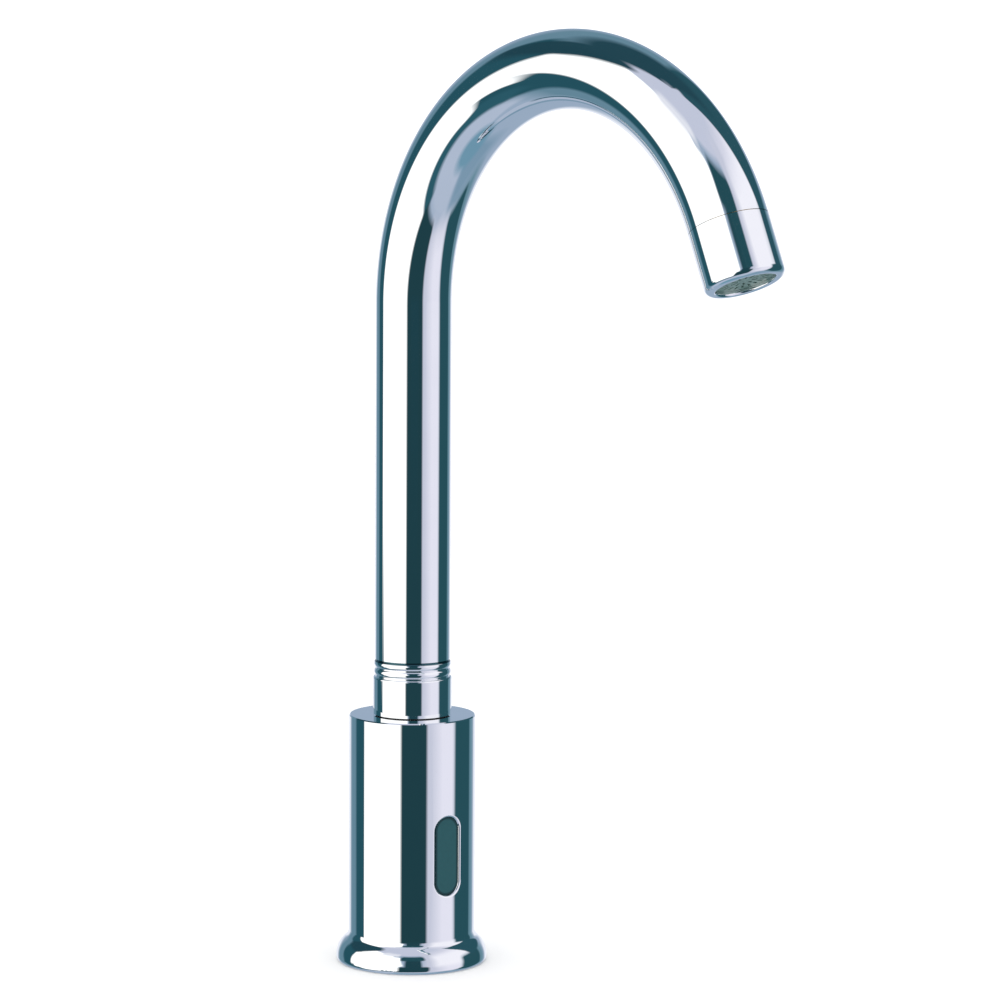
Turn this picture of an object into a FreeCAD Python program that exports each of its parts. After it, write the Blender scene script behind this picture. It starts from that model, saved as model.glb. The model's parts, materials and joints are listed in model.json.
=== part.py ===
import FreeCAD, Part

# Sensor tap: a deck-mounted gooseneck basin tap that opens its valve when hands come near the window.
# Millimetres, +Z up, origin at the centre of the foot's underside, window and outlet towards -Y.
# A chromed body on a moulded foot holds the valve and the sensor. The spout swivels on top of the body.

import math
import os

import Sketcher
from FreeCAD import Placement, Rotation, Vector

# driving sizes
SIZES = (
    # body shell and foot
    ("body_radius", 23.5, "outside radius of the body"),
    ("body_height", 93.0, "height of the body's flat top above the deck"),
    ("body_edge", 0.4, "bevel round the body's top"),
    ("shell_wall", 4.0, "wall of the body shell"),
    ("top_thickness", 5.0, "thickness of the body's top"),
    ("foot_swell", 4.65, "widest radius of the foot, beyond the body's"),
    ("foot_curve", 9.2, "radius of the foot's swell"),
    ("foot_blend", 3.2, "radius of the hollow between swell and body"),
    ("foot_lip", 1.7, "radius of the foot's turned-under lip"),
    # sensor window in the body
    ("window_place", 0.46, "height of the window's centre, as a share of the body's height"),
    ("window_width", 10.2, "width of the window"),
    ("window_share", 0.316, "upright length of the window, as a share of the body's height"),
    ("window_rounding", 0.9, "rounding of the window's mouth"),
    # fits
    ("close_fit", 0.1, "gap between fixed pieces, one in the other"),
    ("running_fit", 0.05, "radial clearance of a fit that turns or slides"),
    # base block that closes the body underneath
    ("base_flange_width", 4.3, "base block's flange beyond the shell's bore"),
    ("base_flange_thickness", 3.0, "thickness of that flange"),
    ("base_share", 0.172, "height of the base block, as a share of the body's height"),
    ("gasket_inset", 3.05, "gasket's mean radius inside the foot's widest radius"),
    ("gasket_width", 1.4, "width of the gasket"),
    ("gasket_depth", 1.5, "depth of the gasket's groove"),
    ("base_screw_inset", 1.8, "base screws' distance beyond the shell's bore"),
    ("base_screw_count", 3, "number of base screws"),
    ("base_screw_radius", 1.25, "thread radius of a base screw"),
    ("base_screw_depth", 9.0, "height that a base screw reaches"),
    ("screw_head_radius", 2.2, "head radius of the base and bonnet screws"),
    ("screw_head_height", 1.5, "head height of the base and bonnet screws"),
    ("stud_spacing", 24.0, "distance between the two fixing studs"),
    ("stud_hole_radius", 2.5, "tapping radius of the M6 stud holes"),
    ("stud_web", 4.0, "metal above the stud holes"),
    # water inlet, and the way to the riser
    ("inlet_radius", 4.5, "tapping radius of the M10x1 hose inlet"),
    ("strainer_thickness", 0.7, "thickness of the strainer above the thread"),
    ("strainer_radius", 4.15, "radius of the strainer"),
    ("strainer_gap", 0.3, "gap between the thread and the strainer"),
    ("inlet_chamber_radius", 3.6, "radius of the chamber above the strainer"),
    ("strainer_hole_radius", 0.45, "radius of a hole in the strainer"),
    ("strainer_hole_circle", 2.9, "radius of the strainer's ring of holes"),
    ("strainer_hole_count", 12, "holes in the strainer's ring"),
    ("gallery_radius", 2.0, "radius of the gallery in the base block"),
    ("gallery_margin", 0.3, "metal between gallery and ring groove, and riser below the gallery"),
    ("plug_length", 2.0, "length of the gallery's end plug"),
    ("plug_socket_radius", 1.0, "key socket in the end plug"),
    ("plug_socket_depth", 1.2, "depth of the key socket"),
    # riser pipe behind the solenoid
    ("riser_inset", 5.5, "riser's centre inside the shell's bore"),
    ("riser_radius", 3.0, "outside radius of the riser"),
    ("riser_bore", 2.3, "bore radius of the riser"),
    ("riser_entry", 3.6, "length of riser inside the valve body"),
    ("riser_well", 8.0, "depth of the riser's hole in the valve body"),
    ("ring_section", 0.6, "section radius of the riser's and socket's rings"),
    ("ring_margin", 1.2, "metal between a ring's groove and the face beside it"),
    # cable gland
    ("gland_offset", 10.5, "gland's distance in front of the axis"),
    ("gland_radius", 4.0, "radius of the gland's hole in the base"),
    ("gland_bore", 2.0, "radius of the cable's hole"),
    ("gland_flange_radius", 5.2, "radius of the gland's flange"),
    ("gland_flange_thickness", 1.5, "thickness of that flange"),
    ("gland_recess", 0.3, "gland's lower end above the deck"),
    # valve body, diaphragm and bonnet
    ("valve_gap", 0.2, "radial gap between the valve body and the shell"),
    ("valve_share", 0.1613, "height of the valve body, as a share of the body's height"),
    ("chamber_floor", 1.5, "thickness between the ring-shaped chamber and the clip's room"),
    ("circlip_thickness", 1.2, "thickness of the circlip under the valve body"),
    ("circlip_width", 2.2, "width of the circlip"),
    ("circlip_depth", 0.9, "depth of its groove in the body's bore"),
    ("circlip_opening", 9.0, "opening of the circlip"),
    ("chamber_radius", 8.2, "outer radius of the chamber"),
    ("outlet_radius", 4.0, "radius of the valve's outlet"),
    ("seat_radius", 5.4, "outer radius of the valve seat"),
    ("feed_radius", 1.4, "radius of the port from riser to chamber"),
    ("clip_room_radius", 11.0, "radius of the room round the spout's clip"),
    ("clip_room_length", 3.0, "height of that room"),
    ("rim_width", 1.5, "width of the diaphragm's clamped rim"),
    ("rim_thickness", 1.8, "thickness of that rim"),
    ("web_thickness", 0.8, "thickness of the diaphragm's web"),
    ("insert_hub_radius", 2.9, "hub radius of the diaphragm's insert"),
    ("insert_disc_radius", 5.2, "disc radius of the insert, pressure side"),
    ("insert_disc_thickness", 1.4, "thickness of that disc"),
    ("insert_cap_radius", 3.6, "cap radius of the insert, outlet side"),
    ("insert_cap_thickness", 0.8, "thickness of that cap"),
    ("pilot_radius", 0.5, "radius of the pilot hole"),
    ("bonnet_inset", 4.4, "bonnet's edge inside the shell's bore"),
    ("bonnet_thickness", 5.5, "thickness of the bonnet"),
    ("pressure_depth", 3.1, "depth of the pressure chamber in the bonnet"),
    ("bonnet_screw_inset", 2.1, "bonnet's ring of screws inside its edge"),
    ("bonnet_screw_count", 4, "number of bonnet screws"),
    ("bonnet_screw_angle", 45.0, "angle of the first bonnet screw"),
    ("bonnet_screw_depth", 4.5, "bonnet screw's length in the valve body"),
    # solenoid that hangs under the bonnet
    ("core_bore", 3.75, "bore radius of the core tube"),
    ("core_wall", 0.4, "wall of the core tube"),
    ("core_floor", 1.0, "thickness of the core tube's closed end"),
    ("core_flange_radius", 6.5, "radius of the core tube's flange"),
    ("core_flange_thickness", 0.8, "thickness of that flange"),
    ("plunger_gap", 2.35, "gap under the plunger"),
    ("plunger_tip_radius", 1.6, "radius of the rubber tip"),
    ("plunger_tip_depth", 1.5, "depth of the tip's pocket in the plunger"),
    ("plunger_tip_proud", 0.6, "height of the tip above the plunger"),
    ("spring_pocket_radius", 2.7, "radius of the spring's pocket in the plunger"),
    ("spring_pocket_depth", 9.0, "depth of that pocket"),
    ("spring_radius", 2.1, "mean radius of the spring"),
    ("spring_wire", 0.25, "radius of the spring's wire"),
    ("spring_turns", 8, "turns of the spring"),
    ("sensor_room", 9.8, "room for the sensor between the coil's can and the shell's bore"),
    ("can_wall", 1.2, "wall of the can"),
    ("can_share", 0.29, "length of the can, as a share of the body's height"),
    ("bobbin_flange", 1.0, "thickness of the bobbin's flanges"),
    ("bobbin_wall", 0.8, "wall of the bobbin's barrel"),
    ("winding_margin", 0.3, "bobbin flange beyond the winding"),
    ("coil_nut_radius", 6.5, "corner radius of the coil's nut"),
    ("coil_nut_thickness", 2.4, "thickness of that nut"),
    ("core_end", 0.5, "core tube beyond the nut"),
    # sensor behind the window
    ("lens_recess", 1.1, "lens's depth inside the body's surface"),
    ("lens_thickness", 1.4, "thickness of the lens"),
    ("capsule_flange_width", 15.0, "width of the capsule's flange"),
    ("capsule_ear", 6.3, "capsule's flange above and below the window"),
    ("capsule_flange_thickness", 1.5, "thickness of that flange"),
    ("capsule_width", 13.0, "width of the capsule's box"),
    ("capsule_margin", 1.8, "capsule's box above and below the window"),
    ("capsule_wall", 1.1, "wall of that box"),
    ("capsule_face", 3.4, "thickness of the capsule behind the lens"),
    ("seal_land", 0.5, "capsule in front of the window seal"),
    ("seal_thickness", 0.8, "thickness of the window seal"),
    ("seal_depth", 0.6, "depth of the seal's groove"),
    ("cover_gap", 0.5, "gap between the sensor's cover and the can"),
    ("cover_thickness", 1.0, "thickness of the sensor's cover"),
    ("board_thickness", 1.6, "thickness of the circuit board"),
    ("eye_radius", 2.5, "radius of the infrared emitter and receiver"),
    ("eye_base_radius", 2.9, "base radius of the emitter and receiver"),
    ("eye_base_thickness", 0.8, "thickness of that base"),
    ("eye_spread", 7.0, "emitter's and receiver's distance from the window's centre"),
    ("eye_gap", 0.2, "gap between an eye and the lens"),
    ("chip_width", 6.0, "width of the control chip"),
    ("chip_length", 7.0, "upright length of the chip"),
    ("chip_thickness", 1.4, "thickness of the chip"),
    ("sensor_screw_gap", 0.2, "gap between a sensor screw's head and the capsule's box"),
    ("sensor_screw_radius", 1.0, "thread radius of a sensor screw"),
    ("sensor_screw_head", 1.7, "head radius of a sensor screw"),
    ("sensor_screw_head_height", 1.2, "head height of a sensor screw"),
    ("sensor_screw_bite", 2.0, "thread in the body's wall"),
    # leads from the sensor to the coil
    ("lead_radius", 0.5, "radius of a lead"),
    ("lead_spacing", 4.4, "distance between the two leads"),
    ("lead_coil_inset", 2.5, "leads' entry inside the can's radius"),
    ("lead_sensor_gap", 3.8, "leads' end at the sensor, outside the can's radius"),
    ("lead_drop", 3.2, "straight lead under the sensor"),
    # swivel joint of the spout
    ("collar_wall", 1.15, "collar's wall round the socket's radius"),
    ("socket_flange_radius", 17.0, "radius of the socket's flange under the top"),
    ("socket_flange_thickness", 4.3, "thickness of that flange"),
    ("socket_entry", 4.0, "length of socket inside the valve body"),
    ("washer_thickness", 0.6, "thickness of the thrust washer"),
    ("spigot_radius", 8.0, "radius of the spout's spigot"),
    ("spigot_bore", 5.5, "bore radius of the spigot"),
    ("spigot_tail", 2.4, "spigot below the socket"),
    ("spigot_flange_thickness", 1.05, "thickness of the spigot's flange"),
    ("spigot_insert_wall", 1.6, "wall of the spigot inside the spout"),
    ("spigot_web", 3.0, "thickness between the spigot's two bores"),
    ("spigot_insert_length", 30.0, "length of spigot inside collar and tube"),
    ("swivel_ring_section", 0.8, "section radius of the swivel's rings"),
    ("swivel_ring_upper", 3.0, "upper ring's depth below the body's top"),
    ("swivel_ring_pitch", 5.0, "distance between the swivel's rings"),
    ("ring_groove_margin", 0.2, "axial room of a ring in its groove"),
    ("clip_thickness", 0.8, "thickness of the retaining clip"),
    ("clip_depth", 1.05, "depth of the clip's groove"),
    ("clip_radius", 10.0, "outside radius of the clip"),
    ("clip_opening", 5.0, "opening of the clip"),
    ("swivel_play", 0.15, "axial play of the spout"),
    # collar and spout
    ("collar_step", 0.65, "collar's surface outside the tube's"),
    ("collar_gap", 0.35, "gap under the collar"),
    ("collar_length", 14.1, "length of the collar's plain part"),
    ("bead_groove_depth", 0.15, "groove between the beads, inside the tube's surface"),
    ("bead_length", 2.5, "length of a bead"),
    ("bead_curve", 1.85, "radius of a bead's curve"),
    ("bead_spacing", 0.5, "gap beside a bead"),
    ("tube_radius", 14.0, "radius of the spout tube"),
    ("tube_wall", 1.2, "wall of the spout tube"),
    ("spout_turn", 4.6, "angle of the spout from straight ahead, towards +X"),
    ("arch_height", 246.0, "height where the arch begins"),
    ("arch_radius", 86.0, "centreline radius of the arch"),
    ("arch_angle", 156.3, "angle that the arch turns through"),
    # outlet and aerator, along the outlet's own axis
    ("nozzle_length", 22.0, "length of the outlet nozzle"),
    ("nozzle_seam", 0.15, "seam between tube and nozzle"),
    ("nozzle_edge", 2.4, "rounding outside the nozzle's mouth"),
    ("mouth_edge", 0.9, "rounding inside the nozzle's mouth"),
    ("adapter_fit", 0.15, "radial gap between the tube's curved bore and that ring"),
    ("adapter_wall", 1.3, "wall of the threaded ring in the tube's end"),
    ("adapter_entry", 4.5, "length of that ring inside the tube"),
    ("adapter_reach", 7.5, "length of that ring inside the nozzle"),
    ("aerator_seal_thickness", 1.5, "thickness of the aerator's washer"),
    ("aerator_seal_width", 2.6, "width of that washer"),
    ("nozzle_wall", 3.7, "wall of the nozzle round the aerator's cartridge"),
    ("aerator_flange_thickness", 1.5, "thickness of the cartridge's flange"),
    ("aerator_wall", 1.7, "wall of the cartridge"),
    ("aerator_ledge", 0.6, "ledge that the regulator and the screen rest on"),
    ("aerator_face", 1.7, "thickness of the cartridge's slotted face"),
    ("aerator_recess", 1.7, "slotted face's depth inside the mouth"),
    ("slot_width", 0.8, "width of a slot in the face"),
    ("outer_slot_length", 2.6, "length of a slot in the outer ring"),
    ("slot_margin", 0.1, "margin between the outer slots and the cartridge's bore"),
    ("outer_slot_count", 20, "slots in the outer ring"),
    ("inner_slot_length", 2.3, "length of a slot in the inner ring"),
    ("slot_web", 1.0, "web between the two rings of slots"),
    ("inner_slot_count", 10, "slots in the inner ring"),
    ("screen_thickness", 0.5, "thickness of the aerator's screen"),
    ("screen_hole_radius", 0.6, "radius of a hole in the screen"),
    ("screen_hole_inset", 1.4, "screen's ring of holes inside the cartridge's bore"),
    ("screen_hole_count", 20, "holes in the screen's ring"),
    ("regulator_thickness", 2.0, "thickness of the flow regulator"),
    ("regulator_hole_radius", 1.1, "radius of a hole in the regulator"),
    ("regulator_hole_inset", 3.6, "regulator's ring of holes inside that bore"),
    ("regulator_hole_count", 6, "holes in the regulator"),
)

doc = FreeCAD.newDocument("sensor_tap")
sheet = doc.addObject("Spreadsheet::Sheet", "sizes")


class Size:
    """A size, or a sum made of sizes: its number, and the expression that binds it to the sheet."""

    def __init__(self, text, number):
        self.text = text
        self.number = number

    @staticmethod
    def of(value):
        return value if isinstance(value, Size) else Size(f"{value:g}", float(value))

    def __rsub__(self, other):
        return Size.of(other) - self

    def __add__(self, other):
        other = Size.of(other)
        return Size(f"({self.text} + {other.text})", self.number + other.number)

    def __sub__(self, other):
        other = Size.of(other)
        return Size(f"({self.text} - {other.text})", self.number - other.number)

    def __mul__(self, other):
        other = Size.of(other)
        return Size(f"({self.text} * {other.text})", self.number * other.number)

    def __truediv__(self, other):
        other = Size.of(other)
        return Size(f"({self.text} / {other.text})", self.number / other.number)

    def __neg__(self):
        return Size(f"(0 - {self.text})", -self.number)

    def root(self):
        return Size(f"sqrt({self.text})", math.sqrt(self.number))

    def sine(self):
        return Size(f"sin({self.text} * 1deg)", math.sin(math.radians(self.number)))

    def cosine(self):
        return Size(f"cos({self.text} * 1deg)", math.cos(math.radians(self.number)))


class Sizes:
    """The sheet's cells, each under its own name."""


s = Sizes()
for row, (name, value, meaning) in enumerate(SIZES, start=1):
    sheet.set(f"A{row}", meaning)
    sheet.set(f"B{row}", str(value))
    sheet.setAlias(f"B{row}", name)
    setattr(s, name, Size(f"sizes.{name}", float(value)))
doc.recompute()

# heights and radii that follow from the sizes
shell_bore = s.body_radius - s.shell_wall
foot_radius = s.body_radius + s.foot_swell
gasket_radius = foot_radius - s.gasket_inset
base_flange_radius = shell_bore + s.base_flange_width
base_screw_circle = shell_bore + s.base_screw_inset
valve_radius = shell_bore - s.valve_gap
can_radius = shell_bore - s.sensor_room
riser_offset = shell_bore - s.riser_inset
bonnet_radius = shell_bore - s.bonnet_inset
bonnet_screw_circle = bonnet_radius - s.bonnet_screw_inset
lead_coil_offset = can_radius - s.lead_coil_inset
lead_sensor_offset = can_radius + s.lead_sensor_gap
lens_front = s.body_radius - s.lens_recess
collar_radius = s.tube_radius + s.collar_step
bead_groove_radius = s.tube_radius - s.bead_groove_depth
socket_radius = collar_radius - s.collar_wall
aerator_radius = s.tube_radius - s.nozzle_wall
window_height = s.body_height * s.window_place
window_length = s.body_height * s.window_share
capsule_length = window_length + s.capsule_margin * 2
sensor_screw_spread = capsule_length / 2 + s.sensor_screw_gap + s.sensor_screw_head
base_height = s.body_height * s.base_share
base_ring_height = base_height - s.ring_margin - s.ring_section
gallery_height = base_ring_height - s.ring_section - s.gallery_margin - s.gallery_radius
riser_seat = gallery_height - s.gallery_radius - s.gallery_margin
thread_top = riser_seat - s.strainer_thickness - s.strainer_gap
top_underside = s.body_height - s.top_thickness
valve_top = top_underside - s.socket_flange_thickness
valve_face = valve_top - s.body_height * s.valve_share
socket_foot = valve_top - s.socket_entry
clip_floor = socket_foot - s.clip_room_length
chamber_top = clip_floor - s.chamber_floor
bonnet_foot = valve_face - s.bonnet_thickness
core_top = valve_face - s.pressure_depth
insert_foot = valve_face - s.web_thickness / 2 - s.insert_disc_thickness
plunger_top = insert_foot - s.running_fit - s.plunger_tip_proud
can_foot = bonnet_foot - s.body_height * s.can_share
core_foot = can_foot - s.coil_nut_thickness - s.core_end
plunger_foot = core_foot + s.core_floor + s.plunger_gap
rim_outer = s.chamber_radius + s.rim_width
tube_bore = s.tube_radius - s.tube_wall
washer_top = s.body_height + s.washer_thickness
flange_foot = washer_top + s.running_fit
flange_top = flange_foot + s.spigot_flange_thickness
collar_foot = s.body_height + s.collar_gap
collar_shoulder = collar_radius - bead_groove_radius
bead_start = collar_foot + s.collar_length + s.bead_spacing
collar_top = bead_start + s.bead_length * 2 + s.bead_spacing * 2
insert_radius = tube_bore - s.running_fit
lens_back = lens_front - s.lens_thickness
half_flange = s.capsule_flange_width / 2
flange_front = (shell_bore * shell_bore - half_flange * half_flange).root() - s.close_fit
flange_back = flange_front - s.capsule_flange_thickness
cover_back = can_radius + s.cover_gap
cover_front = cover_back + s.cover_thickness
board_front = cover_front + s.board_thickness
nozzle_step = s.adapter_reach + s.aerator_seal_thickness + s.aerator_flange_thickness
cartridge_top = s.adapter_reach + s.aerator_seal_thickness
cartridge_foot = s.nozzle_length - s.aerator_recess
cartridge_bore = aerator_radius - s.aerator_wall
outer_slot_outer = cartridge_bore - s.slot_margin
outer_slot_inner = outer_slot_outer - s.outer_slot_length
inner_slot_outer = outer_slot_inner - s.slot_web
inner_slot_inner = inner_slot_outer - s.inner_slot_length
screen_hole_circle = cartridge_bore - s.screen_hole_inset
regulator_hole_circle = cartridge_bore - s.regulator_hole_inset
screen_seat = cartridge_bore + s.aerator_ledge
adapter_radius = tube_bore - s.adapter_fit
circlip_groove = shell_bore + s.circlip_depth

nodes = []


# helpers for sketches and features
def keep(part, label):
    """Name a finished sub-part and put it on the list of files."""
    part.Label = label
    nodes.append(part)
    return part


def new_body(name):
    return doc.addObject("PartDesign::Body", name)


def new_sketch(body, plane, offset=0):
    """An empty sketch on one of the body's origin planes, moved along that plane's normal."""
    sketch = body.newObject("Sketcher::SketchObject", body.Name + "_sketch")
    origin = [part for part in body.Origin.OriginFeatures if part.Role == plane][0]
    sketch.AttachmentSupport = [(origin, "")]
    sketch.MapMode = "FlatFace"
    if isinstance(offset, Size):
        sketch.setExpression("AttachmentOffset.Base.z", offset.text)
    return sketch


def fix_point(sketch, geometry, end, across, up):
    """Hold one point of a sketch at its two distances from the sketch's origin."""
    for kind, axis, value in (("DistanceX", -2, across), ("DistanceY", -1, up)):
        if isinstance(value, Size):
            index = sketch.addConstraint(Sketcher.Constraint(kind, -1, 1, geometry, end, value.number))
            sketch.setExpression(f"Constraints[{index}]", value.text)
        else:
            sketch.addConstraint(Sketcher.Constraint("PointOnObject", geometry, end, axis))


def fix_radius(sketch, geometry, radius):
    index = sketch.addConstraint(Sketcher.Constraint("Radius", geometry, radius.number))
    sketch.setExpression(f"Constraints[{index}]", radius.text)


def arc_between(start, end, radius):
    """The shorter arc from start to end, turning left for a positive radius."""
    chord = end - start
    side = Vector(-chord.y, chord.x, 0).normalize()
    rise = math.sqrt(radius * radius - chord.Length * chord.Length / 4)
    centre = (start + end) * 0.5 + side * math.copysign(rise, radius)
    first, last = (start, end) if radius > 0 else (end, start)
    angles = [math.atan2(point.y - centre.y, point.x - centre.x) for point in (first, last)]
    circle = Part.Circle(centre, Vector(0, 0, 1), abs(radius))
    return Part.ArcOfCircle(circle, angles[0], angles[1])


def draw_outline(sketch, corners):
    """Draw a closed outline through corners (across, up).

    A corner with a third value is reached by an arc of that radius, turning left if it is positive.
    """
    points = [Vector(Size.of(corner[0]).number, Size.of(corner[1]).number, 0) for corner in corners]
    edges = []
    for index, corner in enumerate(corners):
        start, end = points[index - 1], points[index]
        if len(corner) == 3:
            geometry = sketch.addGeometry(arc_between(start, end, corner[2].number))
            ends = (1, 2) if corner[2].number > 0 else (2, 1)
        else:
            geometry = sketch.addGeometry(Part.LineSegment(start, end))
            ends = (1, 2)
        edges.append((geometry, ends))
    for index, corner in enumerate(corners):
        geometry, ends = edges[index]
        following, next_ends = edges[(index + 1) % len(corners)]
        sketch.addConstraint(
            Sketcher.Constraint("Coincident", geometry, ends[1], following, next_ends[0]))
        fix_point(sketch, geometry, ends[1], corner[0], corner[1])
        if len(corner) == 3:
            fix_radius(sketch, geometry, corner[2] if corner[2].number > 0 else -corner[2])


def draw_circle(sketch, across, up, radius):
    centre = Vector(Size.of(across).number, Size.of(up).number, 0)
    geometry = sketch.addGeometry(Part.Circle(centre, Vector(0, 0, 1), radius.number))
    fix_point(sketch, geometry, 3, across, up)
    fix_radius(sketch, geometry, radius)


def draw_stadium(sketch, width, length, middle):
    """Draw an upright slot with round ends, centred on the sketch's vertical axis."""
    half = width.number / 2
    low = middle - (length - width) / 2
    high = middle + (length - width) / 2
    left, right = Vector(-half, 0, 0), Vector(half, 0, 0)
    low_centre, high_centre = Vector(0, low.number, 0), Vector(0, high.number, 0)
    normal = Vector(0, 0, 1)
    top = sketch.addGeometry(Part.ArcOfCircle(Part.Circle(high_centre, normal, half), 0, math.pi))
    down = sketch.addGeometry(Part.LineSegment(high_centre + left, low_centre + left))
    foot = sketch.addGeometry(
        Part.ArcOfCircle(Part.Circle(low_centre, normal, half), math.pi, 2 * math.pi))
    rise = sketch.addGeometry(Part.LineSegment(low_centre + right, high_centre + right))
    sketch.addConstraint(Sketcher.Constraint("Tangent", top, 2, down, 1))
    sketch.addConstraint(Sketcher.Constraint("Tangent", down, 2, foot, 1))
    sketch.addConstraint(Sketcher.Constraint("Tangent", foot, 2, rise, 1))
    sketch.addConstraint(Sketcher.Constraint("Tangent", rise, 2, top, 1))
    fix_point(sketch, top, 3, 0, high)
    fix_point(sketch, foot, 3, 0, low)
    fix_radius(sketch, top, width / 2)
    sketch.addConstraint(Sketcher.Constraint("Equal", top, foot))


def rectangle(width, low, high):
    """The corners of a rectangle centred on the sketch's vertical axis."""
    half = width / 2
    return [(-half, low), (half, low), (half, high), (-half, high)]


def settle(feature, cuts=False):
    """Recompute, and make sure that a cut really removed something."""
    doc.recompute()
    if cuts:
        before = feature.BaseFeature.Shape.Volume
        if feature.Shape.Volume > before - 1e-4:
            raise RuntimeError(f"{feature.Name} cuts nothing")
    return feature


def turn(body, corners):
    """Turn an outline of (radius, height) corners about the body's Z axis."""
    sketch = new_sketch(body, "XZ_Plane")
    draw_outline(sketch, corners)
    feature = body.newObject("PartDesign::Revolution", body.Name + "_turning")
    feature.Profile = sketch
    feature.ReferenceAxis = (sketch, ["V_Axis"])
    feature.Angle = 360
    return settle(feature)


def turned(name, corners):
    body = new_body(name)
    turn(body, corners)
    return keep(body, name)


def pad(body, plane, offset, length, draw):
    """Pad a sketch, drawn by draw(sketch), along its plane's normal."""
    sketch = new_sketch(body, plane, offset)
    draw(sketch)
    feature = body.newObject("PartDesign::Pad", body.Name + "_pad")
    feature.Profile = sketch
    feature.setExpression("Length", length.text)
    return settle(feature)


def cut(body, plane, offset, length, draw, along=False):
    """Cut a sketch out of the body, against its plane's normal or along it."""
    sketch = new_sketch(body, plane, offset)
    draw(sketch)
    feature = body.newObject("PartDesign::Pocket", body.Name + "_cut")
    feature.Profile = sketch
    feature.setExpression("Length", length.text)
    feature.Reversed = along
    return settle(feature, cuts=True)


def drill_up(body, across, up, radius, start, depth):
    """Drill a round hole upwards from the height start, at (across, up) in plan."""
    return cut(body, "XY_Plane", start, depth,
               lambda sketch: draw_circle(sketch, across, up, radius), along=True)


def repeat(body, feature, count, cuts=False):
    """Repeat a feature round the body's Z axis."""
    pattern = body.newObject("PartDesign::PolarPattern", feature.Name + "_ring")
    pattern.Originals = [feature]
    axis = [part for part in body.Origin.OriginFeatures if part.Role == "Z_Axis"][0]
    pattern.Axis = (axis, [""])
    pattern.Angle = 360
    pattern.setExpression("Occurrences", count.text)
    body.Tip = pattern
    return settle(pattern, cuts)


def ring(name, radius, section, height, offset=0):
    """A round-section ring that lies flat; offset moves it along Y."""
    torus = doc.addObject("Part::Torus", name)
    torus.setExpression("Radius1", radius.text)
    torus.setExpression("Radius2", section.text)
    torus.setExpression("Placement.Base.z", height.text)
    if isinstance(offset, Size):
        torus.setExpression("Placement.Base.y", offset.text)
    return torus


def group(name, parts):
    compound = doc.addObject("Part::Compound", name)
    compound.Links = parts
    doc.recompute()
    return keep(compound, name)


def screw(name, radius, length, head_radius, head_height):
    """A cheese-head screw along Z, its head's underside at the origin and its thread upwards."""
    body = new_body(name)
    turn(body, [(0, -head_height), (head_radius, -head_height), (head_radius, 0), (radius, 0),
                (radius, length), (0, length)])
    key = screw_key(body, head_radius, head_height)
    settle(key, cuts=True)
    return body


def screw_key(body, head_radius, head_height):
    """The cross slot in a screw's head."""
    sketch = new_sketch(body, "XY_Plane", -head_height)
    arm, half = head_radius * 0.62, head_radius * 0.12
    draw_outline(sketch, [(half, half), (half, arm), (-half, arm), (-half, half), (-arm, half),
                          (-arm, -half), (-half, -half), (-half, -arm), (half, -arm),
                          (half, -half), (arm, -half), (arm, half)])
    feature = body.newObject("PartDesign::Pocket", body.Name + "_key")
    feature.Profile = sketch
    feature.setExpression("Length", (head_height / 2).text)
    feature.Reversed = True
    doc.recompute()
    return feature


def copies(name, original, places):
    """Separate solids of one fastener, each at (rotation, base, turn about Z)."""
    parts = []
    for index, (x, y, z, tilt) in enumerate(places):
        link = doc.addObject("Part::Compound", f"{name}_{index + 1}")
        link.Links = [original]
        for axis, value in (("x", x), ("y", y), ("z", z)):
            if isinstance(value, Size):
                link.setExpression(f"Placement.Base.{axis}", value.text)
        if tilt:
            link.Placement.Rotation = Rotation(Vector(1, 0, 0), tilt)
        parts.append(link)
    return group(name, parts)


def swing(body):
    """Turn a piece with the spout, from straight ahead to its place at rest."""
    body.setExpression("Placement", f"placement(vector(0; 0; 0); {about('Z', s.spout_turn)})")
    doc.recompute()
    return body


def about(axis, angle):
    """The expression of a rotation about one axis."""
    directions = {"X": "1; 0; 0", "Z": "0; 0; 1"}
    return f"rotation(vector({directions[axis]}); {angle.text})"


def seat_on_outlet(body):
    """Place a piece that was turned about Z onto the end of the arch, Z along the stream."""
    reach = s.arch_radius * (1 - s.arch_angle.cosine())
    height = s.arch_height + s.arch_radius * s.arch_angle.sine()
    across, ahead = reach * s.spout_turn.sine(), -(reach * s.spout_turn.cosine())
    base = f"vector({across.text}; {ahead.text}; {height.text})"
    body.setExpression(
        "Placement", f"placement({base}; {about('Z', s.spout_turn)} * {about('X', s.arch_angle)})")
    doc.recompute()
    return body


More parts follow.
